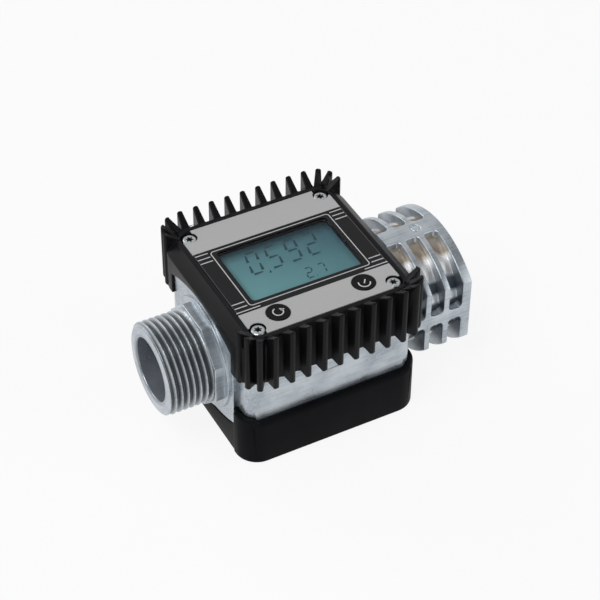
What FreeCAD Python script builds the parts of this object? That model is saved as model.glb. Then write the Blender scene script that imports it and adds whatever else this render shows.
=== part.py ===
import FreeCAD, Part
import Sketcher
import math
import os

V = FreeCAD.Vector

# Turbine flow meter with a threaded inlet, a ribbed outlet and a finned display cover.
# Millimetres. The origin is on the underside of the base, below the middle of the display.
# +X runs from the inlet to the outlet, +Y to the far side of the display, +Z up.

SIZES = {
    # heights, from the face down to the flow line and the block's foot
    "face_height": 55.6,
    "axis_depth": 28.0,
    "deck_thick": 2.3,
    "display_room": 3.3,
    "tray_depth": 4.0,
    "tray_wall": 5.0,
    "foot_drop": 15.6,
    # flow line
    "neck_length": 20.1,
    "shoulder_step": 0.75,
    "male_thread": 16.62,
    "thread_lead_in": 0.7,
    "female_thread": 15.15,
    "female_depth": 20.0,
    "mouth_chamfer": 1.2,
    "chamber_bore": 12.2,
    "tube_wall": 2.8,
    # casting block
    "block_half_long": 31.4,
    "block_half_wide": 30.0,
    "block_corner": 4.0,
    "block_wall": 2.5,
    "boss_inset_long": 6.1,
    "boss_inset_wide": 4.5,
    "boss_round": 4.0,
    # end plates and collars
    "plate_margin": 2.0,
    "plate_thick": 1.7,
    "plate_groove": 1.1,
    "groove_depth": 1.0,
    "collar_step": 0.68,
    "collar_length": 3.4,
    "rim_step": 3.38,
    "rim_proud": 0.8,
    # ribbed outlet
    "cage_gap": 2.3,
    "rib_depth": 5.5,
    "side_flat": 2.2,
    "top_flat": 3.0,
    "cage_sweep": 32.0,
    "drum_wall": 5.05,
    "flange_step": 2.0,
    "flange_start": 1.0,
    "end_ring": 3.6,
    "rib_thick": 2.3,
    "pocket_long": 5.0,
    "top_spine": 7.5,
    "side_spine": 4.4,
    "pocket_corner": 1.4,
    "ejector_round": 1.9,
    "ejector_groove": 0.4,
    # base
    "base_wall_long": 2.5,
    "base_wall_wide": 2.8,
    "base_corner": 8.2,
    "base_floor": 2.2,
    "rim_rise": 6.8,
    "post_rise": 1.6,
    "post_long": 4.9,
    "sill_drop": 4.8,
    "sill_sweep": 50.0,
    "base_edge": 1.2,
    "side_recess": 0.6,
    "panel_margin": 1.0,
    "foot_depth": 3.0,
    # finned cover
    "cover_wall_long": 2.6,
    "cover_wall_wide": 2.0,
    "cover_corner": 8.0,
    "skirt_drop": 12.2,
    "slope_fall": 3.6,
    "face_step_long": 3.8,
    "face_step_wide": 1.0,
    "face_corner": 6.6,
    "arch_rise": 1.3,
    "arch_sweep": 52.0,
    "opening_gap": 0.4,
    "fin_margin": 2.0,
    "fin_out": 4.9,
    "fin_root": 3.0,
    "fin_tip": 2.0,
    "crown_rise": 3.7,
    "fin_chamfer": 0.8,
    "fin_bite": 1.2,
    "fin_turn": 30.0,
    "turn_round": 9.4,
    "turn_proud": 0.6,
    # face
    "label_thick": 0.3,
    "label_margin_long": 1.9,
    "label_margin_wide": 2.1,
    "label_strip": 7.4,
    "label_band": 15.1,
    "window_corner": 1.5,
    "window_shift": 0.56,
    "lens_lap": 1.1,
    "lens_thick": 1.0,
    "button_inset_long": 12.3,
    "button_inset_wide": 7.05,
    "button_round": 4.05,
    "button_proud": 0.3,
    "button_flange": 0.8,
    "button_travel": 0.6,
    "head_round": 2.7,
    "head_thick": 2.1,
    "head_room": 0.55,
    "head_side": 0.9,
    "head_flat": 1.6,
    "label_clear": 1.05,
    "screw_round": 1.5,
    "screw_bite": 9.0,
    # display electronics
    "board_thick": 1.6,
    "board_lift": 1.0,
    "board_gap": 0.5,
    "board_margin": 1.7,
    "boss_gap": 0.3,
    "board_screw_edge": 2.4,
    "board_screw_round": 0.9,
    "board_head_round": 1.7,
    "board_head_thick": 1.1,
    "glass_lap": 1.7,
    "glass_thick": 2.6,
    "frame_wall": 1.2,
    "glass_ledge": 0.8,
    "strip_thick": 1.8,
    "strip_inset": 3.6,
    "switch_size": 6.0,
    "plunger_rise": 0.7,
    "plunger_round": 1.7,
    "plunger_gap": 0.15,
    "chip_size": 9.0,
    "chip_thick": 1.5,
    "pickup_round": 2.8,
    "pickup_wall": 1.3,
    # gaskets
    "gasket_thick": 1.0,
    # turbine
    "rotor_half": 9.0,
    "rotor_float": 0.25,
    "hub_round": 3.4,
    "blade_inset": 1.6,
    "blade_gap": 0.6,
    "blade_thick": 1.2,
    "blade_twist": 62.0,
    "blade_count": 6,
    "shaft_round": 0.75,
    "journal": 4.0,
    "bush_wall": 1.25,
    "bush_length": 5.0,
    "bush_play": 0.04,
    "magnet_round": 0.85,
    "magnet_orbit": 2.15,
    "magnet_count": 4,
    "vane_length": 11.0,
    "vane_thick": 1.2,
    "vane_count": 4,
    "sleeve_wall": 1.1,
    "nose": 3.2,
    "strainer_thick": 0.8,
    "slot_count": 12,
    "slot_wide": 1.7,
    "ring_thick": 1.2,
    "ring_groove": 0.9,
    "ring_wide": 2.0,
    "ring_gap": 5.0,
    # batteries
    "cell_round": 5.25,
    "cell_under": 1.15,
    "cell_nub": 1.0,
    "cell_nub_round": 1.9,
    "cell_inset": 10.0,
    "holder_gap": 2.3,
    "holder_wall": 2.0,
    "holder_rise": 3.4,
    "cradle_drop": 1.6,
    "cradle_lip": 0.45,
    "contact_room": 2.35,
    "contact_thick": 0.4,
    "contact_half": 4.0,
    "lead_round": 0.5,
    "lead_shift": 3.1,
    # clearances
    "fit": 0.1,
    "slip": 0.2,
    "seat": 0.05,
}

doc = FreeCAD.newDocument("flow_meter")
sheet = doc.addObject("Spreadsheet::Sheet", "Sizes")
for row, (word, number) in enumerate(SIZES.items(), start=1):
    sheet.set("A%d" % row, word)
    sheet.set("B%d" % row, str(number))
    sheet.setAlias("B%d" % row, word)
doc.recompute()


class Size:
    """A length that knows its number and the words it is worked out from."""

    def __init__(self, words, number):
        self.words = words
        self.number = float(number)

    def mix(self, sign, other, number):
        other_words = other.words if isinstance(other, Size) else repr(other)
        return Size("(%s %s %s)" % (self.words, sign, other_words), number)

    def __add__(self, other):
        return self.mix("+", other, self.number + amount(other))

    def __sub__(self, other):
        return self.mix("-", other, self.number - amount(other))

    def __mul__(self, other):
        return self.mix("*", other, self.number * amount(other))

    def __truediv__(self, other):
        return self.mix("/", other, self.number / amount(other))

    def __neg__(self):
        return Size("(0 - %s)" % self.words, -self.number)


def amount(size):
    return size.number if isinstance(size, Size) else float(size)


def root(size):
    return Size("sqrt(%s)" % size.words, math.sqrt(size.number))


class Sheet:
    """The driving sizes, each read by its own name."""

    def __getattr__(self, word):
        return Size("Sizes.%s" % word, SIZES[word])


s = Sheet()
ZERO = Size("0", 0)


def bind(thing, field, size):
    if isinstance(size, Size):
        thing.setExpression(field, size.words)
    else:
        setattr(thing, field, size)


# Sketches and features

def plane_of(body, role):
    return [item for item in body.Origin.OriginFeatures if item.Role == role][0]


def new_body(name):
    body = doc.addObject("PartDesign::Body", name)
    body.Label = name
    return body


def new_sketch(body, plane, across=ZERO, along=ZERO, out=ZERO, turn=None):
    """A sketch on XY, XZ or YZ, moved in its plane by across and along and off it by out."""
    sketch = body.newObject("Sketcher::SketchObject", "sketch")
    sketch.AttachmentSupport = [(plane_of(body, plane + "_Plane"), "")]
    sketch.MapMode = "FlatFace"
    if turn is not None:
        sketch.AttachmentOffset = FreeCAD.Placement(V(0, 0, 0), FreeCAD.Rotation(V(0, 0, 1), amount(turn)))
        sketch.setExpression("AttachmentOffset.Rotation.Angle", turn.words)
    for field, size in (("x", across), ("y", along), ("z", out)):
        if size is not ZERO:
            sketch.setExpression("AttachmentOffset.Base." + field, size.words)
    return sketch


def fix_point(sketch, edge, end, x, y):
    for kind, size in (("DistanceX", x), ("DistanceY", y)):
        index = sketch.addConstraint(Sketcher.Constraint(kind, -1, 1, edge, end, amount(size)))
        if isinstance(size, Size) and size is not ZERO:
            sketch.setExpression("Constraints[%d]" % index, size.words)


def arc_between(start, end, radius, side):
    """The short arc of that radius; side 1 bulges to the right of the way from start to end."""
    chord = end - start
    middle = (start + end) * 0.5
    rise = math.sqrt(max(radius ** 2 - (chord.Length / 2) ** 2, 0))
    left = V(-chord.y, chord.x, 0).normalize()
    centre = middle + left * (rise * side)
    crown = centre - left * (radius * side)
    return Part.Arc(start, crown, end)


def draw(sketch, corners):
    """A closed outline; a corner is (x, y), or (x, y, radius, side) where an arc leaves it."""
    first = sketch.GeometryCount
    points = [V(amount(corner[0]), amount(corner[1]), 0) for corner in corners]
    count = len(corners)
    for index, corner in enumerate(corners):
        start, end = points[index], points[(index + 1) % count]
        if len(corner) == 4:
            sketch.addGeometry(arc_between(start, end, amount(corner[2]), corner[3]))
        else:
            sketch.addGeometry(Part.LineSegment(start, end))
    ends = []
    for index in range(count):
        edge = sketch.Geometry[first + index]
        forward = edge.StartPoint.distanceToPoint(points[index]) < 1e-6
        ends.append((1, 2) if forward else (2, 1))
    for index in range(count):
        following = (index + 1) % count
        sketch.addConstraint(Sketcher.Constraint(
            "Coincident", first + index, ends[index][1], first + following, ends[following][0]))
    for index, corner in enumerate(corners):
        fix_point(sketch, first + index, ends[index][0], corner[0], corner[1])
    for index, corner in enumerate(corners):
        if len(corner) == 4:
            number = sketch.addConstraint(Sketcher.Constraint("Radius", first + index, amount(corner[2])))
            if isinstance(corner[2], Size):
                sketch.setExpression("Constraints[%d]" % number, corner[2].words)
    return sketch


def draw_box(sketch, half_x, half_y, corner=None, shift=ZERO):
    """A rectangle about the sketch's middle, with round corners where a radius is given."""
    low, high = shift - half_y, shift + half_y
    if corner is None:
        return draw(sketch, [(-half_x, low), (half_x, low), (half_x, high), (-half_x, high)])
    return draw(sketch, [
        (corner - half_x, low), (half_x - corner, low, corner, 1),
        (half_x, low + corner), (half_x, high - corner, corner, 1),
        (half_x - corner, high), (corner - half_x, high, corner, 1),
        (-half_x, high - corner), (-half_x, low + corner, corner, 1)])


def draw_notched(sketch, half_x, half_y, notch_x, notch_y):
    """A rectangle with its four corners cut back to the notch lines."""
    return draw(sketch, [
        (-notch_x, -half_y), (notch_x, -half_y), (notch_x, -notch_y), (half_x, -notch_y),
        (half_x, notch_y), (notch_x, notch_y), (notch_x, half_y), (-notch_x, half_y),
        (-notch_x, notch_y), (-half_x, notch_y), (-half_x, -notch_y), (-notch_x, -notch_y)])


def draw_circle(sketch, radius, x=ZERO, y=ZERO):
    number = sketch.addGeometry(Part.Circle(V(amount(x), amount(y), 0), V(0, 0, 1), amount(radius)))
    size = sketch.addConstraint(Sketcher.Constraint("Radius", number, amount(radius)))
    if isinstance(radius, Size):
        sketch.setExpression("Constraints[%d]" % size, radius.words)
    fix_point(sketch, number, 3, x, y)
    return sketch


def feature(body, kind, sketch, length=None, both=False, back=False):
    item = body.newObject("PartDesign::" + kind, kind.lower())
    item.Profile = sketch
    if both:
        item.SideType = "Symmetric"
    if length is not None:
        bind(item, "Length", length)
    item.Reversed = back
    return item


def pad(body, sketch, length, both=False, back=False):
    return feature(body, "Pad", sketch, length, both, back)


def cut(body, sketch, length, both=False, back=False):
    """Removes material along the sketch's own normal, or against it with back."""
    return feature(body, "Pocket", sketch, length, both, not back)


def turned(body, sketch, kind="Revolution", axis="H_Axis", angle=360, back=False):
    item = body.newObject("PartDesign::" + kind, kind.lower())
    item.Profile = sketch
    item.ReferenceAxis = (sketch, [axis])
    item.Angle = angle
    item.Reversed = back
    return item


def repeat(body, original, steps):
    """Repeats one feature through the given steps, made by along, around and across."""
    pattern = body.newObject("PartDesign::MultiTransform", "repeat")
    pattern.Originals = [original]
    made = [step(body) for step in steps]
    pattern.Transformations = made
    body.Tip = pattern
    return pattern


def along(axis, length, count):
    def step(body):
        item = body.newObject("PartDesign::LinearPattern", "along")
        item.Direction = (plane_of(body, axis), [""])
        bind(item, "Length", length)
        item.Occurrences = count
        return item
    return step


def around(sketch, angle, count):
    def step(body):
        item = body.newObject("PartDesign::PolarPattern", "around")
        item.Axis = (sketch, ["N_Axis"])
        bind(item, "Angle", angle)
        item.Occurrences = count
        return item
    return step


def across(role):
    def step(body):
        item = body.newObject("PartDesign::Mirrored", "mirror")
        item.MirrorPlane = (plane_of(body, role), [""])
        return item
    return step


def edges_where(shape, test):
    return ["Edge%d" % (index + 1) for index, edge in enumerate(shape.Edges) if test(edge)]


def round_edges(body, test, radius):
    doc.recompute()
    base = body.Tip
    item = body.newObject("PartDesign::Fillet", "round")
    item.Base = (base, edges_where(base.Shape, test))
    bind(item, "Radius", radius)
    return item


def mirror_of(source, normal):
    item = doc.addObject("Part::Mirroring", "mirrored")
    item.Source = source
    item.Normal = normal
    return item


def group(name, items):
    item = doc.addObject("Part::Compound", name)
    item.Label = name
    item.Links = items
    return item


def four_of(name, source):
    """The piece and its copies at the other three corners, as one node."""
    other = mirror_of(source, V(1, 0, 0))
    return group(name, [source, other, mirror_of(source, V(0, 1, 0)), mirror_of(other, V(0, 1, 0))])


# Heights, half widths and stations that several pieces share

axis_height = s.face_height - s.axis_depth
deck_top = s.face_height - s.label_thick
deck_under = s.face_height - s.deck_thick
cover_ledge = deck_under - s.display_room
block_top = cover_ledge - s.gasket_thick
tray_floor = block_top - s.tray_depth
cellar_roof = tray_floor - s.tray_wall
block_bottom = axis_height - s.foot_drop
ledge_height = block_bottom - s.gasket_thick
shoulder = s.face_height - s.slope_fall
cover_bottom = block_top - s.skirt_drop
arch_height = block_top + s.arch_rise
crown_height = s.face_height + s.crown_rise
rim_height = block_bottom + s.rim_rise
post_height = rim_height + s.post_rise
sill_height = block_bottom - s.sill_drop

tray_half_long = s.block_half_long - s.block_wall
tray_half_wide = s.block_half_wide - s.block_wall
boss_long = s.block_half_long - s.boss_inset_long
boss_wide = s.block_half_wide - s.boss_inset_wide
cover_half_long = s.block_half_long + s.cover_wall_long
cover_half_wide = s.block_half_wide + s.cover_wall_wide
corner_long = cover_half_long - s.cover_corner
corner_wide = cover_half_wide - s.cover_corner
face_half_long = cover_half_long - s.face_step_long
face_half_wide = cover_half_wide - s.face_step_wide
fin_reach = cover_half_wide + s.fin_out
turn_long = cover_half_long + s.turn_proud - s.turn_round
turn_wide = fin_reach - s.turn_round
base_half_long = s.block_half_long + s.base_wall_long
base_half_wide = s.block_half_wide + s.base_wall_wide
post_start = base_half_long - s.post_long
side_fins = 9
fin_pitch = (corner_long - s.fin_margin) * 2 / (side_fins - 1)

inlet_bore = s.chamber_bore - s.shoulder_step
tube_outside = s.chamber_bore + s.tube_wall
rim_round = s.male_thread + s.rim_step
collar_flat = s.male_thread + s.collar_step
plate_half_wide = rim_round + s.plate_margin
plate_face = s.block_half_long + s.plate_thick
opening_half_wide = plate_half_wide + s.opening_gap
side_panel = opening_half_wide + s.panel_margin
inlet_end = plate_face + s.neck_length
drum_round = s.female_thread + s.drum_wall
cage_round = drum_round + s.rib_depth
cage_start = plate_face + s.cage_gap
cage_half_wide = cage_round - s.side_flat
cage_half_tall = cage_round - s.top_flat
pitch = s.pocket_long + s.rib_thick
outlet_end = cage_start + pitch * 2 + s.pocket_long + s.end_ring

label_half_long = face_half_long - s.label_margin_long
label_half_wide = face_half_wide - s.label_margin_wide
window_half_long = label_half_long - s.label_strip
window_half_wide = label_half_wide - s.label_band
button_long = label_half_long - s.button_inset_long
button_wide = label_half_wide - s.button_inset_wide
head_seat = deck_top - s.head_thick - s.slip
flange_top = deck_under - s.seat
flange_under = flange_top - s.button_flange
plunger_top = flange_under - s.button_travel - s.plunger_gap
board_under = tray_floor + s.board_lift
board_top = board_under + s.board_thick
board_half_long = tray_half_long - s.board_gap
board_half_wide = boss_wide - s.boss_round - s.boss_gap
board_screw_long = board_half_long - s.board_screw_edge
board_screw_wide = board_half_wide - s.board_screw_edge
glass_half_long = window_half_long + s.glass_lap
glass_half_wide = window_half_wide + s.glass_lap
glass_top = deck_under - s.seat
glass_under = glass_top - s.glass_thick

hub_face = s.rotor_half + s.rotor_float
vane_end = hub_face + s.vane_length
shoulder_face = vane_end + s.strainer_thick
bush_round = s.shaft_round + s.bush_wall
blade_half = s.rotor_half - s.blade_inset
blade_tip = s.chamber_bore - s.blade_gap

cell_height = s.base_floor + s.cell_under + s.cell_round
cell_wide = tray_half_wide - s.cell_inset
holder_long = tray_half_long - s.holder_gap
holder_top = cell_height + s.holder_rise
clear_long = boss_long - s.boss_round - s.boss_gap
contact_face = holder_long - s.holder_wall
cell_length = (contact_face - s.contact_room) * 2
lead_wide = cell_wide + s.lead_shift
corners = ("YZ_Plane", "XZ_Plane")


def arc_drop(sweep, half):
    return sweep - root(sweep * sweep - half * half)


# The aluminium casting: block, end plates, threaded neck, ribbed outlet and bores

def meter_body():
    body = new_body("meter_body")
    middle = axis_height

    block = new_sketch(body, "XY", out=block_bottom)
    draw_box(block, s.block_half_long, s.block_half_wide, s.block_corner)
    pad(body, block, block_top - block_bottom)

    # plates over both ends, set off by a narrow groove
    for half, depth, start in (
            (plate_half_wide - s.groove_depth, s.plate_thick, ZERO),
            (plate_half_wide, s.plate_thick - s.plate_groove, s.plate_groove)):
        top = arch_height - s.slip - arc_drop(s.arch_sweep, half)
        low = sill_height + s.slip + arc_drop(s.sill_sweep, half)
        plate = new_sketch(body, "YZ", out=s.block_half_long + start)
        draw(plate, [
            (-half, low, s.sill_sweep, 1), (half, low),
            (half, top, s.arch_sweep, 1), (-half, top)])
        repeat(body, pad(body, plate, depth), [across("YZ_Plane")])

    # threaded neck at its crest size, with a round rim on the plate
    neck = new_sketch(body, "XZ", along=middle)
    tip = -inlet_end
    rim_face = -(plate_face + s.rim_proud)
    draw(neck, [
        (-s.block_half_long, ZERO), (-s.block_half_long, rim_round), (rim_face, rim_round),
        (rim_face, s.male_thread), (tip + s.thread_lead_in, s.male_thread),
        (tip, s.male_thread - s.thread_lead_in), (tip, ZERO)])
    turned(body, neck)

    # eight-sided collar behind the thread
    eighth = collar_flat * math.tan(math.pi / 8)
    flat = collar_flat
    collar = new_sketch(body, "YZ", along=middle, out=rim_face)
    draw(collar, [
        (-eighth, -flat), (eighth, -flat), (flat, -eighth), (flat, eighth),
        (eighth, flat), (-eighth, flat), (-flat, eighth), (-flat, -eighth)])
    pad(body, collar, s.collar_length, back=True)

    # tray for the electronics and cellar for the batteries, with the flow tube between
    tray = new_sketch(body, "XY", out=tray_floor)
    draw_box(tray, tray_half_long, tray_half_wide)
    cut(body, tray, block_top - tray_floor)
    cellar = new_sketch(body, "XY", out=block_bottom)
    draw_box(cellar, tray_half_long, tray_half_wide)
    cut(body, cellar, cellar_roof - block_bottom)
    tube = new_sketch(body, "YZ", along=middle)
    draw_circle(tube, tube_outside)
    pad(body, tube, s.block_half_long * 2, both=True)

    # corner bosses and tapped holes for the cover screws and base screws
    corners = [across("YZ_Plane"), across("XZ_Plane")]
    boss = new_sketch(body, "XY", out=block_bottom)
    draw_circle(boss, s.boss_round, boss_long, boss_wide)
    repeat(body, pad(body, boss, block_top - block_bottom), corners)
    for start, down in ((block_top, True), (block_bottom, False)):
        tapped = new_sketch(body, "XY", out=start)
        draw_circle(tapped, s.screw_round + s.seat, boss_long, boss_wide)
        repeat(body, cut(body, tapped, s.screw_bite + s.head_room, back=down), corners)

    # pads that carry the circuit board
    seat = new_sketch(body, "XY", out=tray_floor)
    draw_circle(seat, s.board_head_round + s.seat, board_screw_long, board_screw_wide)
    repeat(body, pad(body, seat, s.board_lift), corners)
    pilot = new_sketch(body, "XY", out=board_under)
    draw_circle(pilot, s.board_screw_round + s.seat, board_screw_long, board_screw_wide)
    repeat(body, cut(body, pilot, s.board_lift * 4, back=True), corners)

    # pocket for the pickup over the rotor, and two ways through for the battery leads
    floor = middle + s.chamber_bore + s.pickup_wall
    well = new_sketch(body, "XY", out=floor)
    draw_circle(well, s.pickup_round + s.fit)
    cut(body, well, tray_floor - floor)
    way = new_sketch(body, "XY", out=cellar_roof)
    draw_circle(way, s.lead_round + s.slip, contact_face - s.contact_thick / 2, lead_wide)
    repeat(body, cut(body, way, tray_floor - cellar_roof), [across("XZ_Plane")])

    # outlet: flat sides between a bowed top and bottom
    tall = cage_half_tall - arc_drop(s.cage_sweep, cage_half_wide)
    cage = new_sketch(body, "YZ", along=middle, out=cage_start)
    draw(cage, [
        (-cage_half_wide, -tall, s.cage_sweep, 1), (cage_half_wide, -tall),
        (cage_half_wide, tall, s.cage_sweep, 1), (-cage_half_wide, tall)])
    pad(body, cage, outlet_end - cage_start)

    # three rows of four pockets leave two ribs, an end ring and four spines
    pocket = new_sketch(body, "YZ", along=middle, out=outlet_end - s.end_ring - s.pocket_long)
    reach = cage_round + 1
    spine, side = s.top_spine / 2, s.side_spine / 2
    draw(pocket, [(spine, side), (reach, side), (reach, reach), (spine, reach)])
    first = cut(body, pocket, s.pocket_long)
    middle_axis = new_sketch(body, "YZ", along=middle)
    row = along("X_Axis", pitch * 2, 3)

    def backwards(target):
        item = row(target)
        item.Reversed = True
        return item
    repeat(body, first, [backwards, around(middle_axis, 180, 2), across("XZ_Plane")])

    # drum inside the cage, with a flange beside the plate
    for start, length, radius in (
            (plate_face, outlet_end - plate_face, drum_round),
            (plate_face + s.flange_start, cage_start - plate_face - s.flange_start,
                drum_round + s.flange_step)):
        drum = new_sketch(body, "YZ", along=middle, out=start)
        draw_circle(drum, radius)
        pad(body, drum, length)

    # bores: inlet, turbine chamber with its ring groove, outlet thread at its crest size
    bore = new_sketch(body, "XZ", along=middle)
    ring_start = vane_end
    ring_end = vane_end + s.ring_thick + s.fit
    thread_start = outlet_end - s.female_depth
    past = 1
    draw(bore, [
        (-(inlet_end + past), ZERO), (-(inlet_end + past), inlet_bore + s.thread_lead_in / 2 + past),
        (s.thread_lead_in / 2 - inlet_end, inlet_bore), (-shoulder_face, inlet_bore),
        (-shoulder_face, s.chamber_bore), (ring_start, s.chamber_bore),
        (ring_start, s.chamber_bore + s.ring_groove), (ring_end, s.chamber_bore + s.ring_groove),
        (ring_end, s.chamber_bore), (thread_start, s.chamber_bore), (thread_start, s.female_thread),
        (outlet_end - s.mouth_chamfer, s.female_thread),
        (outlet_end + past, s.female_thread + s.mouth_chamfer + past), (outlet_end + past, ZERO)])
    turned(body, bore, "Groove")

    # ring groove round the ejector mark on the top spine
    mark = new_sketch(body, "XY", out=middle + cage_half_tall - s.ejector_groove)
    spot = outlet_end - s.end_ring - s.pocket_long - s.rib_thick / 2
    draw_circle(mark, s.ejector_round, spot)
    draw_circle(mark, s.ejector_round - s.ejector_groove, spot)
    cut(body, mark, s.ejector_groove)

    # soft corners in the pockets
    def pocket_corner(edge):
        if len(edge.Vertexes) != 2 or edge.BoundBox.XLength > 1e-4:
            return False
        place = edge.CenterOfMass
        if place.x < amount(cage_start) + 1:
            return False
        ends = [vertex.Point for vertex in edge.Vertexes]
        up, out = abs(place.z - amount(middle)), abs(place.y)
        straight = edge.Curve.TypeId == "Part::GeomLine"
        on_top = abs(out - amount(spine)) < 1e-4 and abs(ends[0].y - ends[1].y) < 1e-4
        on_side = abs(up - amount(side)) < 1e-4 and abs(ends[0].z - ends[1].z) < 1e-4
        return straight and (on_top or on_side)
    round_edges(body, pocket_corner, s.pocket_corner)
    return body


# The black cover: a sloping deck with a skirt, and a crown of fins

def cover_shell():
    body = new_body("cover_shell")
    skirt = new_sketch(body, "XY", out=cover_bottom)
    draw_box(skirt, cover_half_long, cover_half_wide, s.cover_corner)
    pad(body, skirt, shoulder - cover_bottom)

    # the slope from the shoulder up to the face
    low = new_sketch(body, "XY", out=shoulder)
    draw_box(low, cover_half_long, cover_half_wide, s.cover_corner)
    high = new_sketch(body, "XY", out=s.face_height)
    draw_box(high, face_half_long, face_half_wide, s.face_corner)
    slope = body.newObject("PartDesign::AdditiveLoft", "slope")
    slope.Profile = low
    slope.Sections = [high]
    slope.Ruled = True

    # hollow for the casting, and above the gasket a narrower one for the electronics
    hollow = new_sketch(body, "XY", out=cover_bottom)
    draw_box(hollow, s.block_half_long + s.fit, s.block_half_wide + s.fit, s.block_corner + s.fit)
    cut(body, hollow, cover_ledge - cover_bottom)
    room = new_sketch(body, "XY", out=cover_ledge)
    draw_box(room, tray_half_long, tray_half_wide)
    cut(body, room, deck_under - cover_ledge)

    # arches over the end plates
    half = opening_half_wide
    foot = arch_height - arc_drop(s.arch_sweep, half)
    arch = new_sketch(body, "YZ", out=tray_half_long + s.fit)
    draw(arch, [
        (-half, cover_bottom - 1), (half, cover_bottom - 1),
        (half, foot, s.arch_sweep, 1), (-half, foot)])
    repeat(body, cut(body, arch, cover_half_long), [across("YZ_Plane")])

    # screw bosses with room for the heads
    corners = [across("YZ_Plane"), across("XZ_Plane")]
    boss = new_sketch(body, "XY", out=cover_ledge)
    draw_circle(boss, s.boss_round, boss_long, boss_wide)
    repeat(body, pad(body, boss, deck_under - cover_ledge), corners)
    shank = new_sketch(body, "XY", out=cover_ledge)
    draw_circle(shank, s.screw_round + s.slip, boss_long, boss_wide)
    repeat(body, cut(body, shank, deck_top - cover_ledge), corners)
    head = new_sketch(body, "XY", out=head_seat)
    draw_circle(head, s.head_round + s.head_room, boss_long, boss_wide)
    repeat(body, cut(body, head, s.face_height - head_seat), corners)

    # shallow bed for the label, rebate for the lens, window and button holes
    bed = new_sketch(body, "XY", out=deck_top)
    draw_notched(bed, label_half_long + s.fit, label_half_wide + s.fit, boss_long, boss_wide)
    cut(body, bed, s.label_thick)
    rebate = new_sketch(body, "XY", out=deck_top - s.lens_thick)
    draw_box(rebate, window_half_long + s.lens_lap + s.fit, window_half_wide + s.lens_lap + s.fit,
             s.window_corner + s.lens_lap, s.window_shift)
    cut(body, rebate, s.lens_thick)
    window = new_sketch(body, "XY", out=deck_under)
    draw_box(window, window_half_long, window_half_wide, s.window_corner, s.window_shift)
    cut(body, window, deck_top - deck_under)
    hole = new_sketch(body, "XY", out=deck_under)
    draw_circle(hole, s.button_round + s.fit, button_long, -button_wide)
    repeat(body, cut(body, hole, deck_top - deck_under), [across("YZ_Plane")])
    return body


def fin_profile(body, sketch, inset):
    """Side outline of a fin, from the wall out to its tip; inset is the sketch's own place in y."""
    inner = cover_half_wide - s.fin_bite - inset
    outer = fin_reach - inset
    bevel = s.fin_chamfer
    level = crown_height
    draw(sketch, [
        (inner, cover_bottom), (outer - bevel, cover_bottom), (outer, cover_bottom + bevel),
        (outer, level - bevel), (outer - bevel, level),
        (face_half_wide - inset, s.face_height), (inner, s.face_height)])


def crown():
    """The swept form that every fin is cut from: straight along both sides, turned at the corners."""
    body = new_body("crown")
    straight = new_sketch(body, "YZ")
    fin_profile(body, straight, ZERO)
    repeat(body, pad(body, straight, turn_long * 2, both=True), [across("XZ_Plane")])
    bend = new_sketch(body, "YZ", across=turn_wide, out=turn_long)
    fin_profile(body, bend, turn_wide)
    quarter = turned(body, bend, axis="V_Axis", angle=120, back=True)
    repeat(body, quarter, [across("YZ_Plane"), across("XZ_Plane")])
    return body


def fin_plan(body, across_at, along_at, turn=None):
    """One fin seen from above: thick at the root, thin at its round tip."""
    sketch = new_sketch(body, "XY", across=across_at, along=along_at, out=cover_bottom - 1, turn=turn)
    length = fin_reach - along_at
    root_half, tip_half = s.fin_root / 2, s.fin_tip / 2
    start = length - (fin_reach - s.block_half_wide)
    draw(sketch, [
        (-root_half, start), (root_half, start), (tip_half, length - tip_half, tip_half * 1.1, 1),
        (-tip_half, length - tip_half)])
    return sketch


def finned_cover():
    """Nine fins along each side and three round each corner, cut to the crown and joined to the shell."""
    tall = crown_height - cover_bottom + 2
    blades = new_body("blades")
    row = fin_plan(blades, -(fin_pitch * ((side_fins - 1) / 2)), corner_wide)
    repeat(blades, pad(blades, row, tall), [
        along("X_Axis", fin_pitch * (side_fins - 1), side_fins), across("XZ_Plane")])
    turn_count = 3
    bend = fin_plan(blades, turn_long, turn_wide, turn=-(s.fin_turn * turn_count))
    repeat(blades, pad(blades, bend, tall), [
        around(bend, s.fin_turn * (turn_count - 1), turn_count), across("YZ_Plane"), across("XZ_Plane")])
    fins = doc.addObject("Part::Common", "fins")
    fins.Base = blades
    fins.Tool = crown()

    # the corner fins start inside the wall, so the casting's room is cut out of them too
    room = new_body("fin_room")
    plan = new_sketch(room, "XY", out=cover_bottom - 1)
    draw_box(plan, s.block_half_long + s.fit, s.block_half_wide + s.fit, s.block_corner + s.fit)
    pad(room, plan, cover_ledge - cover_bottom + 1)
    clear = doc.addObject("Part::Cut", "clear_fins")
    clear.Base = fins
    clear.Tool = room
    whole = doc.addObject("Part::Fuse", "finned_cover")
    whole.Label = "finned_cover"
    whole.Base = cover_shell()
    whole.Tool = clear
    whole.Refine = True
    return whole


# The face: printed label, lens, glass and its frame

def face_label():
    body = new_body("face_label")
    sheet_form = new_sketch(body, "XY", out=deck_top)
    draw_notched(sheet_form, label_half_long, label_half_wide, boss_long, boss_wide)
    pad(body, sheet_form, s.label_thick)
    window = new_sketch(body, "XY", out=deck_top)
    draw_box(window, window_half_long, window_half_wide, s.window_corner, s.window_shift)
    cut(body, window, s.label_thick)
    notch = new_sketch(body, "XY", out=deck_top)
    draw_circle(notch, s.head_round + s.label_clear, boss_long, boss_wide)
    repeat(body, cut(body, notch, s.label_thick), [across(role) for role in corners])
    hole = new_sketch(body, "XY", out=deck_top)
    draw_circle(hole, s.button_round + s.slip, button_long, -button_wide)
    repeat(body, cut(body, hole, s.label_thick), [across("YZ_Plane")])
    return body


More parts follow.
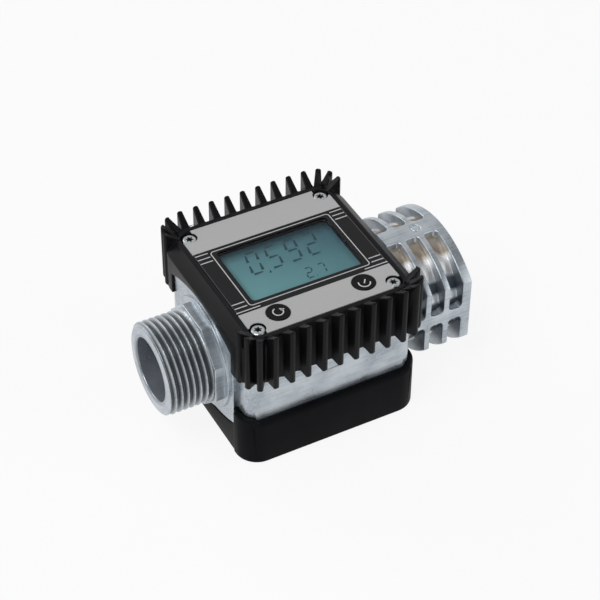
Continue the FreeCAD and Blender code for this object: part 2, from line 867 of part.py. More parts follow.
def window_lens():
    body = new_body("window_lens")
    lens = new_sketch(body, "XY", out=deck_top - s.lens_thick)
    draw_box(lens, window_half_long + s.lens_lap, window_half_wide + s.lens_lap,
             s.window_corner + s.lens_lap, s.window_shift)
    pad(body, lens, s.lens_thick)
    return body


def lcd_glass():
    body = new_body("lcd_glass")
    glass = new_sketch(body, "XY", out=glass_under)
    draw_box(glass, glass_half_long, glass_half_wide, shift=s.window_shift)
    pad(body, glass, s.glass_thick)
    return body


def lcd_frame():
    body = new_body("lcd_frame")
    outer = new_sketch(body, "XY", out=board_top)
    draw_box(outer, glass_half_long + s.frame_wall, glass_half_wide + s.frame_wall, shift=s.window_shift)
    pad(body, outer, glass_top - board_top)
    bed = new_sketch(body, "XY", out=glass_under)
    draw_box(bed, glass_half_long + s.fit, glass_half_wide + s.fit, shift=s.window_shift)
    cut(body, bed, s.glass_thick)
    well = new_sketch(body, "XY", out=board_top)
    draw_box(well, glass_half_long - s.glass_ledge, glass_half_wide - s.glass_ledge, shift=s.window_shift)
    cut(body, well, glass_under - board_top)
    return body


def lcd_connectors():
    """Two soft strips that carry the signals from the board up to the glass."""
    body = new_body("lcd_connectors")
    offset = glass_half_wide - s.glass_ledge - s.fit - s.strip_thick / 2
    for middle in (s.window_shift + offset, s.window_shift - offset):
        strip = new_sketch(body, "XY", out=board_top)
        draw_box(strip, glass_half_long - s.strip_inset, s.strip_thick / 2, shift=middle)
        pad(body, strip, glass_under - board_top)
    return body


def circuit_board():
    body = new_body("circuit_board")
    board = new_sketch(body, "XY", out=board_under)
    draw_notched(board, board_half_long, tray_half_wide - s.board_margin, clear_long, board_half_wide)
    pad(body, board, s.board_thick)
    hole = new_sketch(body, "XY", out=board_under)
    draw_circle(hole, s.board_screw_round + s.slip, board_screw_long, board_screw_wide)
    repeat(body, cut(body, hole, s.board_thick), [across(role) for role in corners])
    return body


def display_chip():
    body = new_body("display_chip")
    chip = new_sketch(body, "XY", across=-s.chip_size, out=board_top)
    draw_box(chip, s.chip_size / 2, s.chip_size / 2)
    pad(body, chip, s.chip_thick)
    return body


def button_switches():
    body = new_body("button_switches")
    case = new_sketch(body, "XY", across=button_long, along=-button_wide, out=board_top)
    draw_box(case, s.switch_size / 2, s.switch_size / 2)
    case_top = plunger_top - s.plunger_rise
    repeat(body, pad(body, case, case_top - board_top), [across("YZ_Plane")])
    plunger = new_sketch(body, "XY", across=button_long, along=-button_wide, out=case_top)
    draw_circle(plunger, s.plunger_round)
    repeat(body, pad(body, plunger, s.plunger_rise), [across("YZ_Plane")])
    return body


def push_button(name, side):
    """A round key with a flange that stops under the deck and a bevelled top."""
    body = new_body(name)
    key = new_sketch(body, "XZ", across=button_long * side, out=button_wide)
    top = s.face_height + s.button_proud
    bevel = s.button_proud / 2
    draw(key, [
        (ZERO, flange_under), (s.button_round + s.button_flange, flange_under),
        (s.button_round + s.button_flange, flange_top), (s.button_round, flange_top),
        (s.button_round, top - bevel), (s.button_round - bevel, top), (ZERO, top)])
    turned(body, key, axis="V_Axis")
    return body


def screw(name, spot, seat, radius, bite, head_round, head_thick, head_side, head_flat):
    """A pan head screw with its head up and a round drive socket."""
    body = new_body(name)
    form = new_sketch(body, "XZ", across=spot[0], out=-spot[1])
    top = seat + head_thick
    lead = radius / 3
    draw(form, [
        (ZERO, seat - bite), (radius - lead, seat - bite), (radius, seat - bite + lead),
        (radius, seat), (head_round, seat), (head_round, seat + head_side), (head_flat, top), (ZERO, top)])
    turned(body, form, axis="V_Axis")
    drive = new_sketch(body, "XY", across=spot[0], along=spot[1], out=top)
    draw_circle(drive, head_flat * 0.8)
    cut(body, drive, head_thick * 0.5, back=True)
    return body


def screws():
    corner = (boss_long, boss_wide)
    bite = s.screw_bite
    head = (s.head_round, s.head_thick, s.head_side, s.head_flat)
    four_of("cover_screws", screw(
        "cover_screw", corner, head_seat, s.screw_round, bite + head_seat - block_top, *head))
    lower = screw(
        "base_screw", corner, -s.foot_depth, s.screw_round, bite + block_bottom - s.foot_depth, *head)
    lower.Placement = FreeCAD.Placement(V(0, 0, 0), FreeCAD.Rotation(V(1, 0, 0), 180))
    four_of("base_screws", lower)
    small = (s.board_head_round, s.board_head_thick, s.board_head_thick / 3, s.board_head_round / 2)
    four_of("board_screws", screw(
        "board_screw", (board_screw_long, board_screw_wide), board_top, s.board_screw_round,
        s.board_thick + s.board_lift * 3, *small))


def gasket(name, level):
    """A flat ring on the casting's rim, with an eye round each screw."""
    body = new_body(name)
    ring = new_sketch(body, "XY", out=level)
    draw_box(ring, s.block_half_long, s.block_half_wide, s.block_corner)
    pad(body, ring, s.gasket_thick)
    inside = new_sketch(body, "XY", out=level)
    draw_box(inside, tray_half_long, tray_half_wide)
    cut(body, inside, s.gasket_thick)
    for radius, work in ((s.boss_round, pad), (s.screw_round + s.slip, cut)):
        eye = new_sketch(body, "XY", out=level)
        draw_circle(eye, radius, boss_long, boss_wide)
        repeat(body, work(body, eye, s.gasket_thick), [across(role) for role in corners])
    return body


# The black base: a tray with corner posts and arches that clear the end plates

def base_cover():
    body = new_body("base_cover")
    tray = new_sketch(body, "XY")
    draw_box(tray, base_half_long, base_half_wide, s.base_corner)
    pad(body, tray, post_height)
    round_edges(body, lambda edge: edge.BoundBox.ZMax < 1e-6, s.base_edge)

    # the long rims dip between the corner posts
    rim = new_sketch(body, "XZ")
    inner = post_start - s.post_rise
    above = post_height + 1
    shelf = rim_height
    draw(rim, [
        (-inner, shelf), (inner, shelf, s.post_rise, 1), (post_start, shelf + s.post_rise),
        (post_start, above), (-post_start, above),
        (-post_start, shelf + s.post_rise, s.post_rise, 1)])
    cut(body, rim, base_half_wide * 3, both=True)

    # arches and a shallow recess on the two ends
    half = opening_half_wide
    foot = sill_height + arc_drop(s.sill_sweep, half)
    arch = new_sketch(body, "YZ", out=s.block_half_long - s.fit)
    draw(arch, [(-half, foot, s.sill_sweep, 1), (half, foot), (half, above), (-half, above)])
    repeat(body, cut(body, arch, base_half_long), [across("YZ_Plane")])
    panel = new_sketch(body, "YZ", out=base_half_long - s.side_recess)
    draw(panel, [(-side_panel, -1), (side_panel, -1), (side_panel, above), (-side_panel, above)])
    repeat(body, cut(body, panel, base_half_long), [across("YZ_Plane")])

    # room for the casting's foot, and below the gasket ledge for the batteries
    foot_room = new_sketch(body, "XY", out=ledge_height)
    draw_box(foot_room, s.block_half_long + s.fit, s.block_half_wide + s.fit, s.block_corner + s.fit)
    cut(body, foot_room, post_height)
    cell_room = new_sketch(body, "XY", out=s.base_floor)
    draw_box(cell_room, tray_half_long, tray_half_wide)
    cut(body, cell_room, ledge_height)

    # screw bosses, bored from below for the heads
    for level, length, radius, work in (
            (ZERO, ledge_height, s.boss_round, pad),
            (ZERO, ledge_height, s.screw_round + s.slip, cut),
            (ZERO, s.foot_depth, s.head_round + s.slip, cut)):
        boss = new_sketch(body, "XY")
        draw_circle(boss, radius, boss_long, boss_wide)
        repeat(body, work(body, boss, length), [across(role) for role in corners])
    return body


# Batteries, their holder and contacts

def battery_holder():
    body = new_body("battery_holder")
    under = s.base_floor + s.fit
    cell_low = cell_height - s.cell_round
    plate = new_sketch(body, "XY", out=under)
    draw_box(plate, holder_long, board_half_wide)
    pad(body, plate, cell_low - under - s.fit)
    cradle = new_sketch(body, "XY", out=under)
    draw_box(cradle, clear_long, cell_wide + s.cell_round + s.cradle_lip)
    pad(body, cradle, cell_height - s.cradle_drop - under)
    wall = new_sketch(body, "XY", across=holder_long - s.holder_wall / 2, out=under)
    draw_box(wall, s.holder_wall / 2, board_half_wide)
    repeat(body, pad(body, wall, holder_top - under), [across("YZ_Plane")])
    trough = new_sketch(body, "YZ", across=cell_wide, along=cell_height)
    draw_circle(trough, s.cell_round + s.fit)
    repeat(body, cut(body, trough, contact_face * 2, both=True), [across("XZ_Plane")])
    return body


def battery(name, side):
    """A small round cell; side 1 is the far one with its nub at the outlet end."""
    body = new_body(name)
    form = new_sketch(body, "XZ", along=cell_height, out=-(cell_wide * side))
    half = cell_length / 2
    near, far = -half * side, (half - s.cell_nub) * side
    draw(form, [
        (near, ZERO), (near, s.cell_round), (far, s.cell_round), (far, s.cell_nub_round),
        (half * side, s.cell_nub_round), (half * side, ZERO)])
    turned(body, form)
    return body


def battery_contacts():
    """Sprung metal leaves: one at each cell's outlet end, and a bridge over both at the inlet end."""
    body = new_body("battery_contacts")
    low = cell_height - s.cell_round + s.fit
    back = contact_face
    front = back - s.contact_thick
    touch = cell_length / 2 + s.fit
    middle, swell, top = cell_height, s.cell_nub_round / 2, holder_top
    thin = s.contact_thick

    def leaf(sketch, sign):
        draw(sketch, [
            (back * sign, low), (back * sign, top), (front * sign, top), (front * sign, top - thin),
            (touch * sign, middle + swell), (touch * sign, middle - swell), (front * sign, low + thin),
            (front * sign, low)])
        draw(sketch, [
            (front * sign, top - thin * 2.5), (front * sign, low + thin * 2.5),
            ((touch + thin) * sign, middle - swell), ((touch + thin) * sign, middle + swell)])
    single = new_sketch(body, "XZ", out=-cell_wide)
    leaf(single, 1)
    repeat(body, pad(body, single, s.contact_half * 2, both=True), [across("XZ_Plane")])
    bridge = new_sketch(body, "XZ")
    leaf(bridge, -1)
    pad(body, bridge, (cell_wide + s.contact_half) * 2, both=True)
    return body


def battery_leads():
    body = new_body("battery_leads")
    lead = new_sketch(body, "XY", out=holder_top)
    draw_circle(lead, s.lead_round, contact_face - s.contact_thick / 2, lead_wide)
    repeat(body, pad(body, lead, board_under - holder_top), [across("XZ_Plane")])
    return body


def pickup_sensor():
    body = new_body("pickup_sensor")
    floor = axis_height + s.chamber_bore + s.pickup_wall
    can = new_sketch(body, "XY", out=floor)
    draw_circle(can, s.pickup_round)
    pad(body, can, board_under - floor)
    return body


# The turbine on the flow axis

def axis_sketch(body, plane, out=ZERO, turn=None):
    return new_sketch(body, plane, along=axis_height, out=out, turn=turn)


def inlet_strainer():
    body = new_body("inlet_strainer")
    disc = axis_sketch(body, "YZ", out=-shoulder_face)
    draw_circle(disc, s.chamber_bore - s.fit)
    pad(body, disc, s.strainer_thick)
    slot = axis_sketch(body, "YZ", out=-shoulder_face)
    rim = s.chamber_bore - s.sleeve_wall * 2
    draw(slot, [
        (-s.slot_wide / 4, s.hub_round), (s.slot_wide / 4, s.hub_round),
        (s.slot_wide, rim), (-s.slot_wide, rim)])
    repeat(body, cut(body, slot, s.strainer_thick), [around(slot, 360, SIZES["slot_count"])])
    return body


def flow_vanes(name, turn):
    """Sleeve, straight vanes and a pointed hub that holds the bush; turned half round at the inlet."""
    body = new_body(name)
    sleeve = axis_sketch(body, "YZ", out=hub_face)
    draw_circle(sleeve, s.chamber_bore - s.fit)
    draw_circle(sleeve, s.chamber_bore - s.fit - s.sleeve_wall)
    pad(body, sleeve, s.vane_length)
    vane = axis_sketch(body, "YZ", out=hub_face)
    draw(vane, [
        (-s.vane_thick / 2, bush_round + s.fit), (s.vane_thick / 2, bush_round + s.fit),
        (s.vane_thick / 2, s.chamber_bore - s.sleeve_wall), (-s.vane_thick / 2, s.chamber_bore - s.sleeve_wall)])
    repeat(body, pad(body, vane, s.vane_length - s.nose), [around(vane, 360, SIZES["vane_count"])])
    hub = axis_sketch(body, "XZ")
    tip = s.hub_round / 3
    draw(hub, [
        (hub_face, bush_round), (hub_face, s.hub_round), (vane_end - s.nose, s.hub_round),
        (vane_end - s.fit, tip), (vane_end - s.fit, ZERO), (hub_face + s.bush_length, ZERO),
        (hub_face + s.bush_length, bush_round)])
    turned(body, hub)
    body.Placement = FreeCAD.Placement(V(0, 0, 0), FreeCAD.Rotation(V(0, 0, 1), turn))
    return body


def bush(name, turn):
    body = new_body(name)
    ring = axis_sketch(body, "YZ", out=hub_face)
    draw_circle(ring, bush_round)
    draw_circle(ring, s.shaft_round + s.bush_play)
    pad(body, ring, s.bush_length)
    body.Placement = FreeCAD.Placement(V(0, 0, 0), FreeCAD.Rotation(V(0, 0, 1), turn))
    return body


def turbine_rotor():
    """Hub with lofted helical blades, bored for the shaft and the magnets."""
    body = new_body("turbine_rotor")
    hub = axis_sketch(body, "YZ", out=-s.rotor_half)
    draw_circle(hub, s.hub_round)
    pad(body, hub, s.rotor_half * 2)
    sections = []
    steps = 4
    for step in range(steps + 1):
        share = step / steps * 2 - 1
        section = axis_sketch(body, "YZ", out=blade_half * share, turn=s.blade_twist * (share / 2))
        draw(section, [
            (-s.blade_thick / 2, s.hub_round * 0.6), (s.blade_thick / 2, s.hub_round * 0.6),
            (s.blade_thick / 2, blade_tip + 0.5), (-s.blade_thick / 2, blade_tip + 0.5)])
        sections.append(section)
    blade = body.newObject("PartDesign::AdditiveLoft", "blade")
    blade.Profile = sections[0]
    blade.Sections = sections[1:]
    count = SIZES["blade_count"]
    middle = axis_sketch(body, "YZ")
    repeat(body, blade, [around(middle, 360, count)])
    trim = axis_sketch(body, "XZ")
    past = blade_half + 1
    draw(trim, [
        (-past, blade_tip), (past, blade_tip), (past, blade_tip + 2), (-past, blade_tip + 2)])
    turned(body, trim, "Groove")
    bore = axis_sketch(body, "YZ")
    draw_circle(bore, s.shaft_round)
    cut(body, bore, s.rotor_half * 3, both=True)
    pocket = axis_sketch(body, "YZ")
    draw_circle(pocket, s.magnet_round, ZERO, s.magnet_orbit)
    repeat(body, cut(body, pocket, s.rotor_half * 3, both=True), [around(pocket, 360, SIZES["magnet_count"])])
    return body


def rotor_shaft():
    body = new_body("rotor_shaft")
    rod = axis_sketch(body, "YZ")
    draw_circle(rod, s.shaft_round)
    pad(body, rod, (hub_face + s.journal) * 2, both=True)
    return body


def rotor_magnets():
    body = new_body("rotor_magnets")
    rod = axis_sketch(body, "YZ")
    draw_circle(rod, s.magnet_round, ZERO, s.magnet_orbit)
    repeat(body, pad(body, rod, (s.rotor_half - s.slip) * 2, both=True),
           [around(rod, 360, SIZES["magnet_count"])])
    return body


def retaining_ring():
    """A sprung ring with a gap, in the groove behind the outlet vanes."""
    body = new_body("retaining_ring")
    ring = axis_sketch(body, "YZ", out=vane_end)
    outer = s.chamber_bore + s.ring_groove - s.fit
    draw_circle(ring, outer)
    draw_circle(ring, outer - s.ring_wide)
    pad(body, ring, s.ring_thick)
    gap = axis_sketch(body, "YZ", out=vane_end)
    draw(gap, [
        (-s.ring_gap / 2, -outer * 1.2), (s.ring_gap / 2, -outer * 1.2),
        (s.ring_gap / 2, -outer / 2), (-s.ring_gap / 2, -outer / 2)])
    cut(body, gap, s.ring_thick)
    return body


meter_body()
finned_cover()
face_label()
window_lens()
lcd_glass()
lcd_frame()
lcd_connectors()
circuit_board()
display_chip()
button_switches()
push_button("reset_button", -1)
push_button("rate_button", 1)
screws()
gasket("cover_gasket", block_top)
gasket("base_gasket", ledge_height)
base_cover()
battery_holder()
battery("near_battery", -1)
battery("far_battery", 1)
battery_contacts()
battery_leads()
pickup_sensor()
inlet_strainer()
flow_vanes("inlet_vanes", 180)
flow_vanes("outlet_vanes", 0)
bush("inlet_bush", 180)
bush("outlet_bush", 0)
turbine_rotor()
rotor_shaft()
rotor_magnets()
retaining_ring()
doc.recompute()

NODES = [
    "meter_body", "finned_cover", "face_label", "window_lens", "lcd_glass", "lcd_frame", "lcd_connectors",
    "circuit_board", "display_chip", "button_switches", "reset_button", "rate_button", "board_screws",
    "cover_screws", "cover_gasket", "base_cover", "base_gasket", "base_screws", "battery_holder",
    "near_battery", "far_battery", "battery_contacts", "battery_leads", "pickup_sensor", "inlet_strainer",
    "inlet_vanes", "outlet_vanes", "inlet_bush", "outlet_bush", "turbine_rotor", "rotor_shaft",
    "rotor_magnets", "retaining_ring"]

for item in doc.Objects:
    if "Invalid" in item.State or "Error" in item.State:
        raise RuntimeError("%s: %s" % (item.Name, item.getStatusString()))
os.makedirs("parts", exist_ok=True)
for name in NODES:
    shape = doc.getObjectsByLabel(name)[0].Shape
    if shape.isNull() or not shape.isValid():
        raise RuntimeError("bad shape: " + name)
    print(name, len(shape.Solids), round(shape.Volume, 2), shape.BoundBox)
    shape.exportStep("parts/%s.step" % name)
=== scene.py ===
import math

import bmesh
import bpy
from mathutils import Matrix, Vector


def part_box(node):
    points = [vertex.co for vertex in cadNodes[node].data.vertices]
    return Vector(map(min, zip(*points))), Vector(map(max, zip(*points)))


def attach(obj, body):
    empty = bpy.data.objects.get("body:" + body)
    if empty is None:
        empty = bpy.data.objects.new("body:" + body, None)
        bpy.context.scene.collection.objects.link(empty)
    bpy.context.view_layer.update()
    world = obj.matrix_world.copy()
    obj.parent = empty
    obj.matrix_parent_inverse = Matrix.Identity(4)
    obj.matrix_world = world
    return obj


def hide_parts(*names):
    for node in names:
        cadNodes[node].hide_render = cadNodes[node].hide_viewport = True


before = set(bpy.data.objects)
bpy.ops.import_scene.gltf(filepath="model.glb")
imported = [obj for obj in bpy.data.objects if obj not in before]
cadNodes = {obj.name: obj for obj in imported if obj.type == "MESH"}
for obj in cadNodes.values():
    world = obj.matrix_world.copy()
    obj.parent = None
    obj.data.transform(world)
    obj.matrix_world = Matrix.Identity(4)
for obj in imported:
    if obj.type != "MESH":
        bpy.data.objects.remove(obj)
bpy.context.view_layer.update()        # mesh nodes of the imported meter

# Turbine flow meter. +X runs from the inlet to the outlet, +Y away from the keys, +Z up.
# Sizes are written in millimetres and turned into metres where a piece is made.

mm = 0.001
flowLine = 27.6          # height of the bore's centre line


# hand work on a mesh

handWork = {"merge": 0.002, "needle": 0.001, "flat": 0.5, "sharp": 34}


def letGo():
    if bpy.context.mode != "OBJECT":
        bpy.ops.object.mode_set(mode="OBJECT")
    bpy.ops.object.select_all(action="DESELECT")


def take(piece):
    letGo()
    piece.select_set(True)
    bpy.context.view_layer.objects.active = piece
    return piece


def edit(piece, how="FACE"):
    take(piece)
    bpy.ops.object.mode_set(mode="EDIT")
    bpy.ops.mesh.select_mode(type=how)
    bpy.ops.mesh.select_all(action="DESELECT")


def done(piece):
    letGo()
    return piece


def named(name):
    piece = bpy.context.active_object
    piece.name = name
    piece.data.name = name
    return piece


def placed(piece, move, turn=0):
    # turns a mesh about +Z and moves it, and leaves its object at the origin
    piece.data.transform(Matrix.Translation(Vector(move) * mm) @ Matrix.Rotation(math.radians(turn), 4, "Z"))
    return piece


def copyOf(source, name, move, turn):
    piece = bpy.data.objects.new(name, source.data.copy())
    bpy.context.scene.collection.objects.link(piece)
    return placed(piece, move, turn)


def cleanCopy(node, name):
    # a CAD mesh is loose triangles, so its copy is merged first
    piece = bpy.data.objects.new(name, cadNodes[node].data.copy())
    bpy.context.scene.collection.objects.link(piece)
    piece.data.materials.clear()
    edit(piece, "VERT")
    bpy.ops.mesh.select_all(action="SELECT")
    bpy.ops.mesh.remove_doubles(threshold=handWork["merge"] * mm)
    bpy.ops.mesh.tris_convert_to_quads(
        face_threshold=math.radians(handWork["flat"]), shape_threshold=math.radians(180))
    return done(piece)


def join(pieces, name):
    letGo()
    for piece in pieces:
        piece.select_set(True)
    bpy.context.view_layer.objects.active = pieces[0]
    bpy.ops.object.join()
    return done(named(name))


def roundEdges(piece, width, steps, wanted=None, outside=True):
    # picks the sharp edges that stand out, or those that go in, and rounds them
    edit(piece, "EDGE")
    shape = bmesh.from_edit_mesh(piece.data)
    for edge in shape.edges:
        sharp = len(edge.link_faces) == 2 and edge.calc_face_angle() > math.radians(handWork["sharp"])
        if sharp and edge.is_convex == outside:
            middle = (edge.verts[0].co + edge.verts[1].co) / 2 / mm
            edge.select_set(wanted is None or wanted(middle))
    bmesh.update_edit_mesh(piece.data)
    bpy.ops.mesh.bevel(
        offset=width * mm, segments=steps, clamp_overlap=False, miter_outer="ARC", loop_slide=False)
    return done(piece)


def clearNeedles(piece):
    # rounding leaves a few faces without area, and a boolean fails on them
    edit(piece, "VERT")
    bpy.ops.mesh.select_all(action="SELECT")
    bpy.ops.mesh.dissolve_degenerate(threshold=handWork["needle"] * mm)
    bpy.ops.mesh.delete_loose()
    return done(piece)


def beyond(spot, long, wide):
    # how far a spot lies outside a box of this half length and half width, seen from above
    return math.hypot(max(abs(spot.x) - long, 0), max(abs(spot.y) - wide, 0))


def carve(piece, tool):
    boolean = piece.modifiers.new("carve", "BOOLEAN")
    boolean.operation = "DIFFERENCE"
    boolean.solver = "EXACT"
    boolean.object = tool
    take(piece)
    bpy.ops.object.modifier_apply(modifier=boolean.name)
    bpy.data.objects.remove(tool)
    return done(piece)


def smooth(piece, angle):
    take(piece)
    bpy.ops.object.shade_smooth_by_angle(angle=math.radians(angle))
    return done(piece)


def evenShading(piece):
    # slivers left by a boolean no longer tilt the shading of the faces beside them
    weighted = piece.modifiers.new("weighted", "WEIGHTED_NORMAL")
    weighted.keep_sharp = True
    take(piece)
    bpy.ops.object.modifier_apply(modifier=weighted.name)
    return done(piece)


def outward(piece):
    edit(piece)
    bpy.ops.mesh.select_all(action="SELECT")
    bpy.ops.mesh.normals_make_consistent(inside=False)
    return done(piece)


# node work on a material

def newFinish(name, metal=0.0, rough=0.4):
    finish = bpy.data.materials.new(name)
    finish.use_nodes = True
    shader = finish.node_tree.nodes["Principled BSDF"]
    shader.inputs["Metallic"].default_value = metal
    shader.inputs["Roughness"].default_value = rough
    return finish, finish.node_tree.nodes, finish.node_tree.links, shader


def where(nodes):
    return nodes.new("ShaderNodeTexCoord").outputs["Object"]


def apart(nodes, links, source):
    # the x, y and z of a place, one socket each
    split = nodes.new("ShaderNodeSeparateXYZ")
    links.new(source, split.inputs[0])
    return [split.outputs[axis] for axis in "XYZ"]


def stretched(nodes, links, source, scale):
    mapping = nodes.new("ShaderNodeMapping")
    mapping.inputs["Scale"].default_value = scale
    links.new(source, mapping.inputs["Vector"])
    return mapping.outputs["Vector"]


def grain(nodes, links, source, perMetre, detail=3.0, uneven=0.55):
    noise = nodes.new("ShaderNodeTexNoise")
    noise.inputs["Scale"].default_value = perMetre
    noise.inputs["Detail"].default_value = detail
    noise.inputs["Roughness"].default_value = uneven
    links.new(source, noise.inputs["Vector"])
    return noise.outputs["Fac"]


def spread(nodes, links, source, low, high, start=0.3, end=0.7):
    ranged = nodes.new("ShaderNodeMapRange")
    ranged.inputs["From Min"].default_value = start
    ranged.inputs["From Max"].default_value = end
    ranged.inputs["To Min"].default_value = low
    ranged.inputs["To Max"].default_value = high
    links.new(source, ranged.inputs["Value"])
    return ranged.outputs["Result"]


def ramp(nodes, links, source, stops):
    colours = nodes.new("ShaderNodeValToRGB")
    while len(colours.color_ramp.elements) < len(stops):
        colours.color_ramp.elements.new(0.5)
    for element, (place, colour) in zip(colours.color_ramp.elements, stops):
        element.position = place
        element.color = (*colour, 1)
    links.new(source, colours.inputs["Fac"])
    return colours.outputs["Color"]


def raised(nodes, links, height, depth, onto=None, strength=1.0):
    bump = nodes.new("ShaderNodeBump")
    bump.inputs["Distance"].default_value = depth * mm
    bump.inputs["Strength"].default_value = strength
    links.new(height, bump.inputs["Height"])
    if onto is not None:
        links.new(onto, bump.inputs["Normal"])
    return bump.outputs["Normal"]


def sums(nodes, links, kind, first, second):
    maths = nodes.new("ShaderNodeMath")
    maths.operation = kind
    for socket, value in zip(maths.inputs, (first, second)):
        if isinstance(value, (int, float)):
            socket.default_value = value
        else:
            links.new(value, socket)
    return maths.outputs[0]


def blendOf(nodes, links, mask, under, over):
    mix = nodes.new("ShaderNodeMix")
    mix.data_type = "RGBA"
    links.new(mask, mix.inputs["Factor"])
    for socket, value in zip((mix.inputs[6], mix.inputs[7]), (under, over)):
        if isinstance(value, tuple):
            socket.default_value = (*value, 1)
        else:
            links.new(value, socket)
    return mix.outputs[2]


def seenSocket(nodes, links):
    # 1 for rays from the camera, from a mirror and through a window, and 0 for the light that falls on things
    rays = nodes.new("ShaderNodeLightPath")
    seen = sums(nodes, links, "MAXIMUM", rays.outputs["Is Camera Ray"], rays.outputs["Is Glossy Ray"])
    return sums(nodes, links, "MAXIMUM", seen, rays.outputs["Is Transmission Ray"])


def dress(piece, finish):
    piece.data.materials.clear()
    piece.data.materials.append(finish)


def dressNode(node, finish):
    piece = cadNodes[node]
    for slot in piece.material_slots:
        slot.link = "OBJECT"
        slot.material = finish
    if not piece.material_slots:
        piece.data.materials.append(finish)


# the photograph's camera, the floor and the lamps

photoCamera = {
    "lens": 117.7, "around": -28.28, "above": 41.77, "roll": 0.434,
    "distance": 673.6, "target": (0.0, 0.0, 35.0), "asideBy": 3.362, "upBy": 1.597}


def placeCamera():
    around, above, roll = (math.radians(photoCamera[k]) for k in ("around", "above", "roll"))
    back = Vector((math.sin(around) * math.cos(above), -math.cos(around) * math.cos(above), math.sin(above)))
    right = Vector((math.cos(around), math.sin(around), 0))
    up = back.cross(right)
    spot = Vector(photoCamera["target"]) + right * photoCamera["asideBy"] + up * photoCamera["upBy"]
    spot = (spot + back * photoCamera["distance"]) * mm
    across = right * math.cos(roll) + up * math.sin(roll)
    upright = up * math.cos(roll) - right * math.sin(roll)
    letGo()
    bpy.ops.object.camera_add()
    camera = bpy.context.active_object
    camera.name = "photoCamera"
    camera.matrix_world = Matrix((
        (across.x, upright.x, back.x, spot.x), (across.y, upright.y, back.y, spot.y),
        (across.z, upright.z, back.z, spot.z), (0, 0, 0, 1)))
    camera.data.lens = photoCamera["lens"]
    camera.data.sensor_width = 36
    camera.data.clip_start = 0.01
    bpy.context.scene.camera = camera


studio = {
    "key": {"at": (-0.8, -0.35, 1.25), "wide": 0.9, "watts": 10.0},
    "fill": {"at": (1.0, -0.9, 0.7), "wide": 1.1, "watts": 4.5},
    "rim": {"at": (-0.55, 1.15, 0.75), "wide": 0.9, "watts": 4.5},
    "aim": (0, 0, 0.03), "sky": (0.93, 0.96, 1.0), "skyLevel": 0.32,
    "horizon": (0.18, 0.5), "frontToBack": (-0.45, 0.45), "frontTop": 0.14, "backTop": 0.62,
    "floorHalf": 3.0, "floorLift": 0.88, "floorDark": (0.86, 0.86, 0.87), "floorLight": (0.9, 0.9, 0.9)}


def placeLamps():
    for name in ("key", "fill", "rim"):
        lamp = studio[name]
        spot = Vector(lamp["at"])
        aim = (Vector(studio["aim"]) - spot).to_track_quat("-Z", "Y").to_euler()
        letGo()
        bpy.ops.object.light_add(type="AREA", location=spot, rotation=aim)
        light = bpy.context.active_object
        light.name = name + "Lamp"
        light.data.shape = "DISK"
        light.data.size = lamp["wide"]
        light.data.energy = lamp["watts"]


def placeSky():
    # white at the horizon all round, and darker overhead, most of all in front of the keys
    world = bpy.data.worlds.new("paleSky")
    bpy.context.scene.world = world
    world.use_nodes = True
    nodes, links = world.node_tree.nodes, world.node_tree.links
    soft = nodes["Background"]
    soft.inputs["Color"].default_value = (*studio["sky"], 1)
    soft.inputs["Strength"].default_value = studio["skyLevel"]
    back, high = apart(nodes, links, nodes.new("ShaderNodeTexCoord").outputs["Generated"])[1:]
    top = spread(nodes, links, back, studio["frontTop"], studio["backTop"], *studio["frontToBack"])
    rise = spread(nodes, links, high, 0, 1, *studio["horizon"])
    fall = sums(nodes, links, "MULTIPLY", rise, sums(nodes, links, "SUBTRACT", 1, top))
    seenSky = nodes.new("ShaderNodeBackground")
    links.new(sums(nodes, links, "SUBTRACT", 1, fall), seenSky.inputs["Strength"])
    seenSky.inputs["Color"].default_value = (1, 1, 1, 1)
    mix = nodes.new("ShaderNodeMixShader")
    links.new(seenSocket(nodes, links), mix.inputs["Fac"])
    links.new(soft.outputs[0], mix.inputs[1])
    links.new(seenSky.outputs[0], mix.inputs[2])
    links.new(mix.outputs[0], nodes["World Output"].inputs["Surface"])


def placeFloor():
    letGo()
    bpy.ops.mesh.primitive_plane_add(size=studio["floorHalf"] * 2, location=(0, 0, 0))
    floor = named("paleFloor")
    finish, nodes, links, shader = newFinish("paleFloor", 0.0, 0.9)
    shader.inputs["Specular IOR Level"].default_value = 0.1
    cloud = grain(nodes, links, where(nodes), 40)
    tint = ramp(nodes, links, cloud, [(0.3, studio["floorDark"]), (0.7, studio["floorLight"])])
    links.new(tint, shader.inputs["Base Color"])
    glow = nodes.new("ShaderNodeEmission")
    glow.inputs["Strength"].default_value = 1
    lift = sums(nodes, links, "MULTIPLY", seenSocket(nodes, links), studio["floorLift"])
    mix = nodes.new("ShaderNodeMixShader")
    links.new(lift, mix.inputs["Fac"])
    links.new(shader.outputs[0], mix.inputs[1])
    links.new(glow.outputs[0], mix.inputs[2])
    links.new(mix.outputs[0], nodes["Material Output"].inputs["Surface"])
    dress(floor, finish)
    done(floor)


placeCamera()
placeLamps()
placeSky()
placeFloor()
bpy.context.scene.view_settings.view_transform = "Standard"
print("camera, lamps and floor are set")
